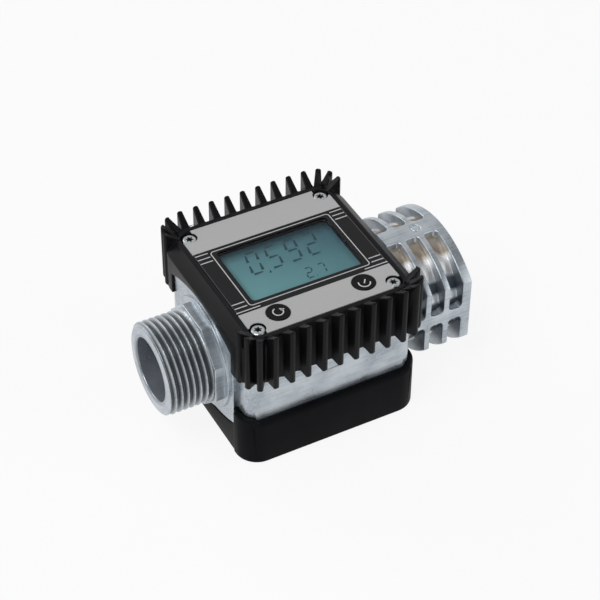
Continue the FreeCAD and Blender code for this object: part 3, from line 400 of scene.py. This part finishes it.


# finishes

# sizes in millimetres and grain per metre; each band of painted reflection on the drum starts at a height,
# from 0 at the flow line to 1 at the drum's top
castingLook = {
    "metal": 0.72, "rough": (0.24, 0.38), "dark": (0.35, 0.39, 0.43), "light": (0.56, 0.61, 0.65),
    "mottle": 110, "mottleShare": 0.65, "streak": (70, 1500, 1500), "streakShare": 0.4, "speck": 1300,
    "tones": (0.42, 0.62), "speckDepth": 0.002, "streakDepth": 0.006,
    "threadStart": -36.7, "threadEnd": -52.3, "grooveBottom": 15.7, "grooveTop": 16.62,
    "groove": (0.13, 0.137, 0.14), "bore": 12.9, "boreShade": (0.34, 0.37, 0.41),
    "cageStart": 34.5, "cageEnd": 57.9, "drum": 20.5, "cloud": (150, 80, 80), "cloudShare": 0.05,
    "wallShade": (0.085, 0.10, 0.12), "wallFacing": (0.75, 0.97), "wallLow": 0.85, "wallHigh": 0.15,
    "wallLevels": (0.5, 0.75),
    "drumReflections": [
        (0.14, (0.09, 0.11, 0.13)), (0.20, (0.80, 0.86, 0.89)), (0.30, (0.80, 0.86, 0.89)),
        (0.36, (0.07, 0.09, 0.115)), (0.54, (0.13, 0.16, 0.19)), (0.60, (0.90, 0.92, 0.93)),
        (0.84, (0.95, 0.92, 0.90)), (0.90, (0.38, 0.31, 0.23)), (0.97, (0.46, 0.41, 0.35))]}


def castAluminium(name, look):
    finish, nodes, links, shader = newFinish(name, look["metal"])
    place = where(nodes)
    x, y, z = apart(nodes, links, place)
    up = sums(nodes, links, "SUBTRACT", z, flowLine * mm)
    away = sums(nodes, links, "MULTIPLY", y, y)
    away = sums(nodes, links, "ADD", away, sums(nodes, links, "MULTIPLY", up, up))
    away = sums(nodes, links, "SQRT", away, 0)          # distance from the flow line

    def fade(value, start, end):
        return spread(nodes, links, value, 0, 1, start * mm, end * mm)

    def both(first, second):
        return sums(nodes, links, "MULTIPLY", first, second)

    # mottled skin with fine streaks along the flow line
    mottle = grain(nodes, links, place, look["mottle"], 4)
    speck = grain(nodes, links, place, look["speck"], 3, 0.7)
    streak = grain(nodes, links, stretched(nodes, links, place, look["streak"]), 1.0, 3)
    tone = sums(nodes, links, "ADD", both(mottle, look["mottleShare"]), both(streak, look["streakShare"]))
    skin = ramp(nodes, links, tone, list(zip(look["tones"], (look["dark"], look["light"]))))

    # outlet pockets: polished floor with painted reflections in brown, white and slate bands round the drum,
    # and painted shade on the walls
    cage = fade(x, look["cageStart"], look["cageStart"] + 0.3)
    cage = both(cage, fade(x, look["cageEnd"], look["cageEnd"] - 0.2))
    cloud = grain(nodes, links, stretched(nodes, links, place, look["cloud"]), 1.0, 2, 0.5)
    level = sums(nodes, links, "DIVIDE", sums(nodes, links, "ABSOLUTE", up, 0), look["drum"] * mm)
    wander = spread(nodes, links, cloud, -look["cloudShare"], look["cloudShare"])
    level = sums(nodes, links, "ADD", level, wander)
    floor = ramp(nodes, links, level, look["drumReflections"])
    reflectionMask = both(cage, fade(away, look["drum"] + 0.35, look["drum"]))
    # painted shade on the pocket walls, strongest near the flow line
    facing = apart(nodes, links, nodes.new("ShaderNodeTexCoord").outputs["Normal"])[0]
    wallMask = spread(nodes, links, sums(nodes, links, "ABSOLUTE", facing, 0), 0, 1, *look["wallFacing"])
    low = spread(nodes, links, level, look["wallLow"], look["wallHigh"], *look["wallLevels"])
    skin = blendOf(nodes, links, both(both(wallMask, low), cage), skin, look["wallShade"])
    skin = blendOf(nodes, links, reflectionMask, skin, floor)

    # thread: bright crests and painted shade in the grooves; and painted shade in the bore
    inlet = fade(x, look["threadStart"], look["threadStart"] - 0.3)
    turns = both(inlet, fade(x, look["threadEnd"] - 0.2, look["threadEnd"]))
    deep = both(turns, fade(away, look["grooveTop"], look["grooveBottom"]))
    skin = blendOf(nodes, links, deep, skin, look["groove"])
    inside = both(inlet, fade(away, look["bore"], look["bore"] - 0.2))
    skin = blendOf(nodes, links, inside, skin, look["boreShade"])

    links.new(skin, shader.inputs["Base Color"])
    links.new(spread(nodes, links, mottle, *look["rough"]), shader.inputs["Roughness"])
    fine = raised(nodes, links, speck, look["speckDepth"])
    links.new(raised(nodes, links, streak, look["streakDepth"], fine, 0.6), shader.inputs["Normal"])
    return finish


def mouldedPlastic(name, dark, light, rough, perMetre=2600, depth=0.02, metal=0.0, shine=0.5):
    finish, nodes, links, shader = newFinish(name, metal)
    shader.inputs["Specular IOR Level"].default_value = shine
    place = where(nodes)
    fine = grain(nodes, links, place, perMetre, 2)
    broad = grain(nodes, links, place, 60, 3)
    links.new(ramp(nodes, links, broad, [(0.3, dark), (0.7, light)]), shader.inputs["Base Color"])
    links.new(spread(nodes, links, fine, *rough), shader.inputs["Roughness"])
    links.new(raised(nodes, links, fine, depth), shader.inputs["Normal"])
    return finish


def turnedSteel(name, dark, light):
    return mouldedPlastic(name, dark, light, (0.16, 0.3), 3000, 0.006, 1.0)


castBright = castAluminium("castAluminium", castingLook)
coverBlack = mouldedPlastic(
    "coverBlack", (0.0045, 0.0046, 0.0052), (0.0075, 0.0078, 0.0088), (0.32, 0.46), shine=0.13)
baseBlack = mouldedPlastic(
    "baseBlack", (0.0042, 0.0045, 0.0052), (0.0062, 0.0067, 0.0078), (0.36, 0.5), shine=0.04)
keyBlack = mouldedPlastic(
    "keyBlack", (0.004, 0.004, 0.0042), (0.006, 0.006, 0.0062), (0.34, 0.42), 3500, 0.008, shine=0.12)
innerFinish = {
    "gasketRubber": mouldedPlastic(
        "gasketRubber", (0.014, 0.014, 0.015), (0.022, 0.022, 0.022), (0.6, 0.75)),
    "frameBlack": mouldedPlastic(
        "frameBlack", (0.012, 0.012, 0.013), (0.018, 0.018, 0.019), (0.5, 0.6)),
    "stripRubber": mouldedPlastic(
        "stripRubber", (0.10, 0.10, 0.11), (0.14, 0.14, 0.15), (0.55, 0.7)),
    "boardGreen": mouldedPlastic(
        "boardGreen", (0.010, 0.085, 0.035), (0.016, 0.11, 0.045), (0.3, 0.42), 1800, 0.01),
    "chipBlack": mouldedPlastic(
        "chipBlack", (0.012, 0.012, 0.013), (0.020, 0.020, 0.021), (0.5, 0.62)),
    "holderBlack": mouldedPlastic(
        "holderBlack", (0.016, 0.016, 0.017), (0.024, 0.024, 0.025), (0.4, 0.55)),
    "cellJacket": mouldedPlastic(
        "cellJacket", (0.03, 0.05, 0.11), (0.04, 0.065, 0.14), (0.25, 0.35), 1200, 0.004),
    "springSteel": turnedSteel("springSteel", (0.50, 0.50, 0.48), (0.64, 0.64, 0.60)),
    "leadSleeve": mouldedPlastic(
        "leadSleeve", (0.28, 0.015, 0.012), (0.36, 0.02, 0.016), (0.35, 0.45)),
    "vanePlastic": mouldedPlastic(
        "vanePlastic", (0.60, 0.59, 0.55), (0.68, 0.67, 0.63), (0.35, 0.48)),
    "bushPlastic": mouldedPlastic(
        "bushPlastic", (0.30, 0.19, 0.08), (0.36, 0.23, 0.10), (0.35, 0.45)),
    "rotorPlastic": mouldedPlastic(
        "rotorPlastic", (0.02, 0.05, 0.16), (0.03, 0.07, 0.20), (0.3, 0.42)),
    "magnetMetal": turnedSteel("magnetMetal", (0.38, 0.38, 0.40), (0.50, 0.50, 0.52))}
innerNodes = {
    "cover_gasket": "gasketRubber", "base_gasket": "gasketRubber", "lcd_frame": "frameBlack",
    "lcd_connectors": "stripRubber", "circuit_board": "boardGreen", "display_chip": "chipBlack",
    "button_switches": "chipBlack", "board_screws": "springSteel", "base_screws": "springSteel",
    "battery_holder": "holderBlack", "near_battery": "cellJacket", "far_battery": "cellJacket",
    "battery_contacts": "springSteel", "battery_leads": "leadSleeve", "pickup_sensor": "chipBlack",
    "inlet_strainer": "springSteel", "inlet_vanes": "vanePlastic", "outlet_vanes": "vanePlastic",
    "inlet_bush": "bushPlastic", "outlet_bush": "bushPlastic", "turbine_rotor": "rotorPlastic",
    "rotor_shaft": "springSteel", "rotor_magnets": "magnetMetal", "retaining_ring": "springSteel"}
for node, finishName in innerNodes.items():
    dressNode(node, innerFinish[finishName])
print("inner parts are finished")


# printed label: grey bands, a white line round the window and sets of light lines beside it

label = {
    "farBand": 16.8, "nearBand": -17.3, "windowLong": 22.6, "windowWide": 15.1, "windowShift": 0.3,
    "windowCorner": 1.2, "lineHalf": 0.17, "sideStart": 23.4, "sideEnd": 28.0,
    "sideLines": (15.5, 13.4, 11.3, -12.0, -14.1, -16.2), "sideHalf": 0.2, "longLine": -16.2, "longEnd": 19.6,
    "edgeAt": 28.15, "edgeHalf": 0.09,
    "black": (0.008, 0.008, 0.009), "edgeHighlight": (0.11, 0.11, 0.12), "white": (0.62, 0.62, 0.62),
    "greyDark": (0.45, 0.45, 0.44), "greyLight": (0.50, 0.50, 0.49)}


def labelFilm():
    finish, nodes, links, shader = newFinish("labelFilm", 0.0, 0.34)
    shader.inputs["Specular IOR Level"].default_value = 0.2
    place = where(nodes)
    x, y = apart(nodes, links, place)[:2]
    sideways = sums(nodes, links, "ABSOLUTE", x, 0)

    def within(value, middle, half):
        node = sums(nodes, links, "COMPARE", value, middle * mm).node
        node.inputs[2].default_value = half * mm
        return node.outputs[0]

    band = sums(nodes, links, "GREATER_THAN", y, label["farBand"] * mm)
    band = sums(nodes, links, "MAXIMUM", band, sums(nodes, links, "LESS_THAN", y, label["nearBand"] * mm))

    # distance from a rounded line round the window
    corner = label["windowCorner"]
    fromY = sums(nodes, links, "ABSOLUTE", sums(nodes, links, "SUBTRACT", y, label["windowShift"] * mm), 0)
    overX = sums(nodes, links, "SUBTRACT", sideways, (label["windowLong"] - corner) * mm)
    overY = sums(nodes, links, "SUBTRACT", fromY, (label["windowWide"] - corner) * mm)
    outX = sums(nodes, links, "MAXIMUM", overX, 0)
    outY = sums(nodes, links, "MAXIMUM", overY, 0)
    far = sums(nodes, links, "MULTIPLY", outX, outX)
    far = sums(nodes, links, "ADD", far, sums(nodes, links, "MULTIPLY", outY, outY))
    far = sums(nodes, links, "SQRT", far, 0)
    near = sums(nodes, links, "MINIMUM", sums(nodes, links, "MAXIMUM", overX, overY), 0)
    lines = within(sums(nodes, links, "ADD", far, near), corner, label["lineHalf"])

    # short lines at both sides of the window, the last of them longer
    middle = (label["sideStart"] + label["sideEnd"]) / 2
    strip = within(sideways, middle, (label["sideEnd"] - label["sideStart"]) / 2)
    for level in label["sideLines"]:
        line = within(y, level, label["sideHalf"])
        reach = strip
        if level == label["longLine"]:
            reach = sums(nodes, links, "GREATER_THAN", sideways, label["longEnd"] * mm)
        lines = sums(nodes, links, "MAXIMUM", lines, sums(nodes, links, "MULTIPLY", line, reach))

    # a grey line along both side edges: a painted highlight of the label's edge
    edge = within(sideways, label["edgeAt"], label["edgeHalf"])
    black = blendOf(nodes, links, edge, label["black"], label["edgeHighlight"])
    black = blendOf(nodes, links, lines, black, label["white"])
    sheen = grain(nodes, links, place, 4200, 2)
    sheen = ramp(nodes, links, sheen, [(0.3, label["greyDark"]), (0.7, label["greyLight"])])
    links.new(blendOf(nodes, links, band, black, sheen), shader.inputs["Base Color"])
    rough = grain(nodes, links, place, 2400, 2)
    links.new(spread(nodes, links, rough, 0.3, 0.42), shader.inputs["Roughness"])
    links.new(raised(nodes, links, rough, 0.006), shader.inputs["Normal"])
    return finish


labelCut = {
    "above": 0.03, "windowX": 20.9, "windowY": (-13.24, 14.36), "windowCorner": 1.5,
    "keys": (16.0, -21.85), "keyHole": 4.24, "screws": (25.3, 25.6), "notch": 2.75, "corner": (23.5, 24.3)}


def block(name, low, high):
    letGo()
    middle = [(a + b) / 2 * mm for a, b in zip(low, high)]
    bpy.ops.mesh.primitive_cube_add(size=1, location=middle)
    bpy.ops.transform.resize(value=[(b - a) * mm for a, b in zip(low, high)])
    bpy.ops.object.transform_apply(location=True, rotation=True, scale=True)
    return done(named(name))


def drum(name, across, low, high, sides=64):
    letGo()
    bpy.ops.mesh.primitive_cylinder_add(
        vertices=sides, radius=across[2] * mm, depth=(high - low) * mm,
        location=(across[0] * mm, across[1] * mm, (low + high) / 2 * mm))
    bpy.ops.object.transform_apply(location=True, rotation=True, scale=True)
    return done(named(name))


def makeLabel():
    # a thin film with the window, both keys and the screw corners cut out of it
    cut = labelCut
    low, high = ([value / mm for value in corner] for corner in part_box("face_label"))
    film = block("printedLabel", low, (high[0], high[1], high[2] + cut["above"]))
    bottom, top = low[2] - 1, high[2] + 1
    near, far = cut["windowY"]
    window = block("window", (-cut["windowX"], near, bottom), (cut["windowX"], far, top))
    roundEdges(window, cut["windowCorner"], 6, lambda spot: abs(spot.z - (bottom + top) / 2) < 0.1)
    carve(film, window)
    for side in (-1, 1):
        carve(film, drum("keyHole", (side * cut["keys"][0], cut["keys"][1], cut["keyHole"]), bottom, top))
        for end in (-1, 1):
            x, y = side * cut["screws"][0], end * cut["screws"][1]
            carve(film, drum("notch", (x, y, cut["notch"]), bottom, top))
            first = (side * cut["corner"][0], end * cut["corner"][1])
            last = (side * (high[0] + 1), end * (high[1] + 1))
            carve(film, block(
                "corner", (min(first[0], last[0]), min(first[1], last[1]), bottom),
                (max(first[0], last[0]), max(first[1], last[1]), top)))
    dress(film, labelFilm())
    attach(film, "housing")
    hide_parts("face_label")


makeLabel()


# display: teal glass with grey digits on it, under a clear window

display = {
    "near": (0.140, 0.335, 0.350), "far": (0.030, 0.088, 0.125), "shade": (0.006, 0.018, 0.024),
    "sideways": 0.55, "slope": (-0.022, 0.026), "cloud": 0.12, "rim": (0.0085, 0.0148), "rimDepth": 0.95,
    "ink": (0.024, 0.058, 0.070), "inkLight": (0.030, 0.068, 0.082),
    "windowDark": (0.97, 0.98, 0.98), "windowLight": (1, 1, 1), "bending": 1.18}


def displayTeal():
    finish, nodes, links, shader = newFinish("displayTeal", 0.0, 0.16)
    shader.inputs["Specular IOR Level"].default_value = 0.15
    place = where(nodes)
    x, y = apart(nodes, links, place)[:2]
    # painted shading: lighter at the near left, darker towards the far right
    slope = sums(nodes, links, "ADD", sums(nodes, links, "MULTIPLY", x, display["sideways"]), y)
    cloud = sums(nodes, links, "MULTIPLY", grain(nodes, links, place, 160, 2), display["cloud"])
    slope = spread(nodes, links, slope, -display["cloud"] / 2, 1 - display["cloud"] / 2, *display["slope"])
    shade = sums(nodes, links, "ADD", cloud, slope)
    tint = ramp(nodes, links, shade, [(0.0, display["near"]), (1.0, display["far"])])
    rim = spread(nodes, links, y, 0, display["rimDepth"], *display["rim"])       # shade under the far edge
    links.new(blendOf(nodes, links, rim, tint, display["shade"]), shader.inputs["Base Color"])
    fine = grain(nodes, links, place, 5200, 1)
    links.new(spread(nodes, links, fine, 0.12, 0.2), shader.inputs["Roughness"])
    links.new(raised(nodes, links, fine, 0.003), shader.inputs["Normal"])
    return finish


def clearWindow():
    finish, nodes, links, shader = newFinish("clearWindow", 0.0, 0.03)
    shader.inputs["Transmission Weight"].default_value = 1.0
    shader.inputs["IOR"].default_value = display["bending"]
    fine = grain(nodes, links, where(nodes), 900, 1)
    tint = ramp(nodes, links, fine, [(0.3, display["windowDark"]), (0.7, display["windowLight"])])
    links.new(tint, shader.inputs["Base Color"])
    letsThrough = nodes.new("ShaderNodeBsdfTransparent")
    rays = nodes.new("ShaderNodeLightPath")
    soft = sums(nodes, links, "MAXIMUM", rays.outputs["Is Shadow Ray"], rays.outputs["Is Diffuse Ray"])
    mix = nodes.new("ShaderNodeMixShader")
    links.new(soft, mix.inputs["Fac"])
    links.new(shader.outputs[0], mix.inputs[1])
    links.new(letsThrough.outputs[0], mix.inputs[2])
    links.new(mix.outputs[0], nodes["Material Output"].inputs["Surface"])
    return finish


dressNode("lcd_glass", displayTeal())
dressNode("window_lens", clearWindow())
displayInk = mouldedPlastic(
    "displayInk", display["ink"], display["inkLight"], (0.5, 0.6), 4000, 0.002, shine=0.05)

# seven bars in each digit, in the order top, top left, top right, middle, low left, low right, bottom
barsOf = {
    "0": "1110111", "2": "1011101", "5": "1101011", "7": "1010010", "9": "1111011"}
# comma and point: x, y, turn, length and bar
reading = {
    "surface": 53.25, "thick": 0.04, "lean": 10.0, "gap": 0.6,
    "large": {
        "high": 11.8, "wide": 5.0, "bar": 1.1, "foot": 0.1,
        "places": (-11.6, -4.2, 3.1, 10.4), "text": "0592"},
    "small": {"high": 5.6, "wide": 2.9, "bar": 0.65, "foot": -9.8, "places": (3.2, 8.0), "text": "27"},
    "comma": (-7.7, -0.5, 65, 2.5, 0.8), "point": (5.3, -9.4, 90, 1.2, 0.55)}


def inkBar(size):
    # one bar: a six-sided slip, drawn long and pointed, then given its thickness
    letGo()
    bpy.ops.mesh.primitive_circle_add(vertices=6, radius=size["bar"] / 2 * mm, fill_type="NGON")
    bar = named("bar")
    reach = (size["wide"] - size["bar"] * (1 + reading["gap"])) / 2 * mm
    point = size["bar"] / 2 * mm
    for corner in bar.data.vertices:
        side = 1 if corner.co.x > 0 else -1
        corner.co.x = side * (reach + (point if abs(corner.co.y) < 0.01 * mm else 0))
    edit(bar)
    bpy.ops.mesh.select_all(action="SELECT")
    bpy.ops.mesh.extrude_region_move(TRANSFORM_OT_translate={"value": (0, 0, reading["thick"] * mm)})
    done(bar)
    return outward(bar)


def inkDigit(figure, size, middle):
    bar = inkBar(size)
    high, wide = size["high"], size["wide"]
    step = (high - size["bar"]) / 2
    half = (wide - size["bar"]) / 2
    taller = (step - size["bar"] * reading["gap"]) / (wide - size["bar"] * reading["gap"])
    places = [
        (0, step * 2, 0), (-half, step * 1.5, 90), (half, step * 1.5, 90), (0, step, 0),
        (-half, step * 0.5, 90), (half, step * 0.5, 90), (0, 0, 0)]
    bars = []
    for (x, y, turn), lit in zip(places, barsOf[figure]):
        if lit == "1":
            stroke = copyOf(bar, "bar", (0, 0, 0), turn)
            if turn:
                stroke.data.transform(Matrix.Scale(taller, 4, (0, 1, 0)))
            bars.append(placed(stroke, (x, y, 0)))
    bpy.data.objects.remove(bar)
    digit = join(bars, "digit")
    lean = Matrix.Identity(4)
    lean[0][1] = math.tan(math.radians(reading["lean"]))
    digit.data.transform(lean)
    return placed(digit, (middle, size["foot"] + size["bar"] / 2, reading["surface"]))


def makeReading():
    digits = []
    for size in (reading["large"], reading["small"]):
        for figure, middle in zip(size["text"], size["places"]):
            digits.append(inkDigit(figure, size, middle))
    for x, y, turn, wide, bar in (reading["comma"], reading["point"]):
        digits.append(placed(inkBar({"bar": bar, "wide": wide}), (x, y, reading["surface"]), turn))
    piece = join(digits, "displayReading")
    dress(piece, displayInk)
    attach(piece, "housing")


makeReading()
print("label and display are finished")


# casting: copy of the cast body with soft edges, and both threads cut in

thread = {
    "pitch": 2.309, "depth": 1.40, "mouth": 2.02, "rootHalf": 0.18, "past": 0.5, "sides": 120,
    "maleCrest": 16.62, "maleStart": -55.1, "maleTurns": 7.5,
    "femaleCrest": 15.15, "femaleStart": 40.0, "femaleEnd": 60.4}
castBody = {
    "cageStart": 36, "cageEdge": (0.5, 3), "blockEdge": (0.3, 3), "innerEdge": (0.08, 1), "smooth": 32}


def threadCutter(name, root, crest, start, turns):
    # one slip of thread form, swept round the bore's line by the Screw modifier
    letGo()
    bpy.ops.mesh.primitive_plane_add(size=1 * mm)
    cutter = named(name)
    half, narrow = thread["mouth"] / 2, thread["rootHalf"]
    past = crest + math.copysign(thread["past"], crest - root)
    outline = (
        (-half, past), (half, past), (half, crest), (narrow, root), (-narrow, root), (-half, crest))
    edit(cutter, "VERT")
    bpy.ops.mesh.select_all(action="SELECT")
    bpy.ops.mesh.delete(type="ONLY_FACE")
    bpy.ops.mesh.select_mode(type="EDGE")
    bpy.ops.mesh.select_all(action="DESELECT")
    bpy.ops.object.mode_set(mode="OBJECT")
    cutter.data.edges[0].select = True
    cutter.data.edges[2].select = True
    bpy.ops.object.mode_set(mode="EDIT")
    bpy.ops.mesh.subdivide(number_cuts=1)
    bpy.ops.mesh.select_all(action="SELECT")
    bpy.ops.mesh.edge_face_add()
    bpy.ops.object.mode_set(mode="OBJECT")
    order = list(cutter.data.polygons[0].vertices)
    for index, (x, r) in zip(order, outline):
        cutter.data.vertices[index].co = (x * mm, 0, r * mm)
    screw = cutter.modifiers.new("thread", "SCREW")
    screw.axis = "X"
    screw.angle = math.radians(360) * turns
    screw.screw_offset = turns * thread["pitch"] * mm
    screw.steps = screw.render_steps = int(thread["sides"] * turns)
    screw.use_merge_vertices = False
    take(cutter)
    bpy.ops.object.modifier_apply(modifier=screw.name)
    placed(cutter, (start, 0, flowLine))
    edit(cutter, "VERT")
    bpy.ops.mesh.select_all(action="SELECT")
    bpy.ops.mesh.remove_doubles(threshold=0.001 * mm)
    bpy.ops.mesh.select_all(action="DESELECT")
    bpy.ops.mesh.select_non_manifold()
    bpy.ops.mesh.fill()
    done(cutter)
    return outward(cutter)


def makeCasting():
    look = castBody
    piece = cleanCopy("meter_body", "castBody")
    roundEdges(piece, *look["cageEdge"], lambda spot: spot.x > look["cageStart"])
    roundEdges(piece, *look["blockEdge"], lambda spot: spot.x <= look["cageStart"])
    roundEdges(piece, *look["innerEdge"], outside=False)
    clearNeedles(piece)
    crest, deep = thread["maleCrest"], thread["depth"]
    male = threadCutter("maleCut", crest - deep, crest, thread["maleStart"], thread["maleTurns"])
    crest = thread["femaleCrest"]
    turns = (thread["femaleEnd"] - thread["femaleStart"]) / thread["pitch"]
    female = threadCutter("femaleCut", crest + deep, crest, thread["femaleStart"], turns)
    carve(piece, join([male, female], "threadCuts"))
    clearNeedles(piece)
    smooth(piece, look["smooth"])
    evenShading(piece)
    dress(piece, castBright)
    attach(piece, "housing")
    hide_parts("meter_body")


makeCasting()
print("casting is cut")


# finned cover and base, with moulded edges

# distances out from a box of this half length and half width; each edge is a width and its steps
coverShell = {
    "turnLong": 26.0, "turnWide": 24.0, "finStart": 8.15, "finEdge": (0.45, 4), "shellEdge": (0.3, 3),
    "rootStart": 6.5, "rootEdge": (0.15, 1), "smooth": 35}
baseShell = {
    "long": 25.7, "wide": 24.6, "wall": 7.9, "rimLevel": 18,
    "rimEdge": (1.7, 5), "edge": (0.3, 3), "smooth": 35}


def makeCover():
    look = coverShell

    def out(spot):
        return beyond(spot, look["turnLong"], look["turnWide"])

    piece = cleanCopy("finned_cover", "finnedCover")
    roundEdges(piece, *look["finEdge"], lambda spot: out(spot) > look["finStart"])
    roundEdges(piece, *look["shellEdge"], lambda spot: out(spot) <= look["finStart"])
    roundEdges(piece, *look["rootEdge"], lambda spot: out(spot) > look["rootStart"], False)
    clearNeedles(piece)
    smooth(piece, look["smooth"])
    dress(piece, coverBlack)
    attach(piece, "housing")
    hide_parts("finned_cover")


def makeBase():
    look = baseShell

    def onRim(spot):
        return spot.z > look["rimLevel"] and beyond(spot, look["long"], look["wide"]) > look["wall"]

    piece = cleanCopy("base_cover", "baseShell")
    roundEdges(piece, *look["rimEdge"], onRim)
    roundEdges(piece, *look["edge"])
    clearNeedles(piece)
    smooth(piece, look["smooth"])
    dress(piece, baseBlack)
    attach(piece, "housing")
    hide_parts("base_cover")


makeCover()
makeBase()
print("cover and base are moulded")


# face screws: domed head with a six-lobe socket, threaded shank

screw = {
    "places": ((25.3, 25.6, 10), (-25.3, 25.6, 28), (25.3, -25.6, 41), (-25.3, -25.6, 0)),
    "head": 2.62, "top": 55.08, "seat": 53.2, "dome": (0.8, 6), "socketEdge": (0.1, 2), "tip": (0.4, 2),
    "end": 40.0, "core": 1.15, "crest": 1.48, "pitch": 1.1, "ridgeHalf": 0.36, "ridgeSink": 0.08,
    "plainTip": 0.8, "ridgeSides": 28, "socket": 1.14, "lobe": 0.25, "deep": 1.4, "smooth": 35,
    "dark": (0.50, 0.53, 0.54), "bright": (0.66, 0.69, 0.70), "shade": (0.06, 0.07, 0.07),
    "shadeShare": 0.9, "shadeLevels": (54.05, 54.50)}


def screwFinish():
    # bright dome, and painted shade below it in the socket and the recess
    finish, nodes, links, shader = newFinish("screwSteel", 1.0)
    place = where(nodes)
    z = apart(nodes, links, place)[2]
    fine = grain(nodes, links, place, 3200, 2)
    bright = ramp(nodes, links, fine, [(0.3, screw["dark"]), (0.7, screw["bright"])])
    low, high = screw["shadeLevels"]
    lower = spread(nodes, links, z, screw["shadeShare"], 0, low * mm, high * mm)
    links.new(blendOf(nodes, links, lower, bright, screw["shade"]), shader.inputs["Base Color"])
    links.new(spread(nodes, links, fine, 0.24, 0.36), shader.inputs["Roughness"])
    links.new(raised(nodes, links, fine, 0.004), shader.inputs["Normal"])
    return finish


def socketCutter():
    core = drum("socketCore", (0, 0, screw["socket"]), screw["top"] - screw["deep"], screw["top"] + 1, 72)
    for corner in core.data.vertices:
        turn = math.atan2(corner.co.y, corner.co.x)
        corner.co.xy = corner.co.xy * (1 + screw["lobe"] * math.cos(turn * 6))
    return core


def threadRidge():
    # one small triangle, swept round the shank by the Screw modifier
    letGo()
    bpy.ops.mesh.primitive_circle_add(vertices=3, radius=0.5 * mm)
    ridge = named("ridge")
    foot, half = screw["core"] - screw["ridgeSink"], screw["ridgeHalf"]
    outline = ((foot, -half), (foot, half), (screw["crest"], 0))
    for corner, (reach, level) in zip(ridge.data.vertices, outline):
        corner.co = (reach * mm, 0, level * mm)
    turns = (screw["seat"] - screw["end"] - screw["plainTip"] * 2) / screw["pitch"]
    sweep = ridge.modifiers.new("ridge", "SCREW")
    sweep.axis = "Z"
    sweep.angle = math.radians(360) * turns
    sweep.screw_offset = turns * screw["pitch"] * mm
    sweep.steps = sweep.render_steps = int(screw["ridgeSides"] * turns)
    take(ridge)
    bpy.ops.object.modifier_apply(modifier=sweep.name)
    edit(ridge, "VERT")
    bpy.ops.mesh.select_non_manifold()
    bpy.ops.mesh.fill()
    done(ridge)
    placed(ridge, (0, 0, screw["end"] + screw["plainTip"]))
    return outward(ridge)


def makeScrews():
    head = drum("head", (0, 0, screw["head"]), screw["seat"], screw["top"])
    roundEdges(head, *screw["dome"], lambda spot: spot.z > screw["top"] - 0.1)
    carve(head, socketCutter())
    roundEdges(head, *screw["socketEdge"], lambda spot: spot.z > screw["top"] - 0.3)
    shank = drum("shank", (0, 0, screw["core"]), screw["end"], screw["seat"] + 0.2, 32)
    roundEdges(shank, *screw["tip"], lambda spot: spot.z < screw["end"] + 0.1)
    one = join([head, shank, threadRidge()], "screw")
    screws = [copyOf(one, "screw", (x, y, 0), turn) for x, y, turn in screw["places"]]
    bpy.data.objects.remove(one)
    piece = join(screws, "faceScrews")
    smooth(piece, screw["smooth"])
    dress(piece, screwFinish())
    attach(piece, "housing")
    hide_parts("cover_screws")


makeScrews()
print("face screws are cut")


# keys and the light marks on them

# barbs and the needle are x and y from the key's middle, length and turn
keyMark = {
    "x": 16.0, "y": -21.85, "top": 55.9, "thick": 0.04, "wide": 0.42, "steps": 28,
    "dark": (0.60, 0.60, 0.60), "light": (0.68, 0.68, 0.68),
    "ring": {"radius": 1.75, "sweep": 290, "turn": 35},
    "barbs": ((1.25, 0.62, 1.3, 100), (1.85, 0.45, 1.3, 10)),
    "dial": {"radius": 2.0, "sweep": 200, "turn": -10, "lower": 0.5}, "needle": (0.45, 0.1, 2.0, 55)}
markWhite = mouldedPlastic("markWhite", keyMark["dark"], keyMark["light"], (0.4, 0.5), 3000, 0.004)


def flatSlip(name, long, move, turn):
    letGo()
    bpy.ops.mesh.primitive_plane_add(size=1 * mm)
    slip = named(name)
    edit(slip)
    bpy.ops.mesh.select_all(action="SELECT")
    bpy.ops.transform.resize(value=(long, keyMark["wide"], 1))
    bpy.ops.mesh.extrude_region_move(TRANSFORM_OT_translate={"value": (0, 0, keyMark["thick"] * mm)})
    done(slip)
    return outward(placed(slip, move, turn))


def arcSlip(name, arc, move):
    # an upright slip, spun round the middle of the arc
    letGo()
    bpy.ops.mesh.primitive_plane_add(size=1 * mm, location=(0, 0, 0))
    slip = named(name)
    half, thick = keyMark["wide"] / 2, keyMark["thick"]
    for corner, (x, z) in zip(slip.data.vertices, ((-half, 0), (half, 0), (-half, thick), (half, thick))):
        corner.co = ((arc["radius"] + x) * mm, 0, z * mm)
    edit(slip)
    bpy.ops.mesh.select_all(action="SELECT")
    bpy.ops.mesh.spin(
        steps=keyMark["steps"], angle=math.radians(arc["sweep"]), center=(0, 0, 0), axis=(0, 0, 1))
    bpy.ops.mesh.select_all(action="SELECT")
    bpy.ops.mesh.remove_doubles(threshold=0.0005 * mm)
    done(slip)
    return outward(placed(slip, move, arc["turn"]))


def makeMarks():
    x, y, top = keyMark["x"], keyMark["y"], keyMark["top"]
    slips = [arcSlip("ring", keyMark["ring"], (-x, y, top))]
    for aside, up, long, turn in keyMark["barbs"]:
        slips.append(flatSlip("barb", long, (aside - x, y + up, top), turn))
    reset = join(slips, "resetMark")
    dial = arcSlip("dial", keyMark["dial"], (x, y - keyMark["dial"]["lower"], top))
    aside, up, long, turn = keyMark["needle"]
    needle = flatSlip("needle", long, (x + aside, y + up, top), turn)
    rate = join([dial, needle], "rateMark")
    for piece, body in ((reset, "reset_key"), (rate, "rate_key")):
        dress(piece, markWhite)
        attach(piece, body)


makeMarks()
dressNode("reset_button", keyBlack)
dressNode("rate_button", keyBlack)
print("keys are marked")
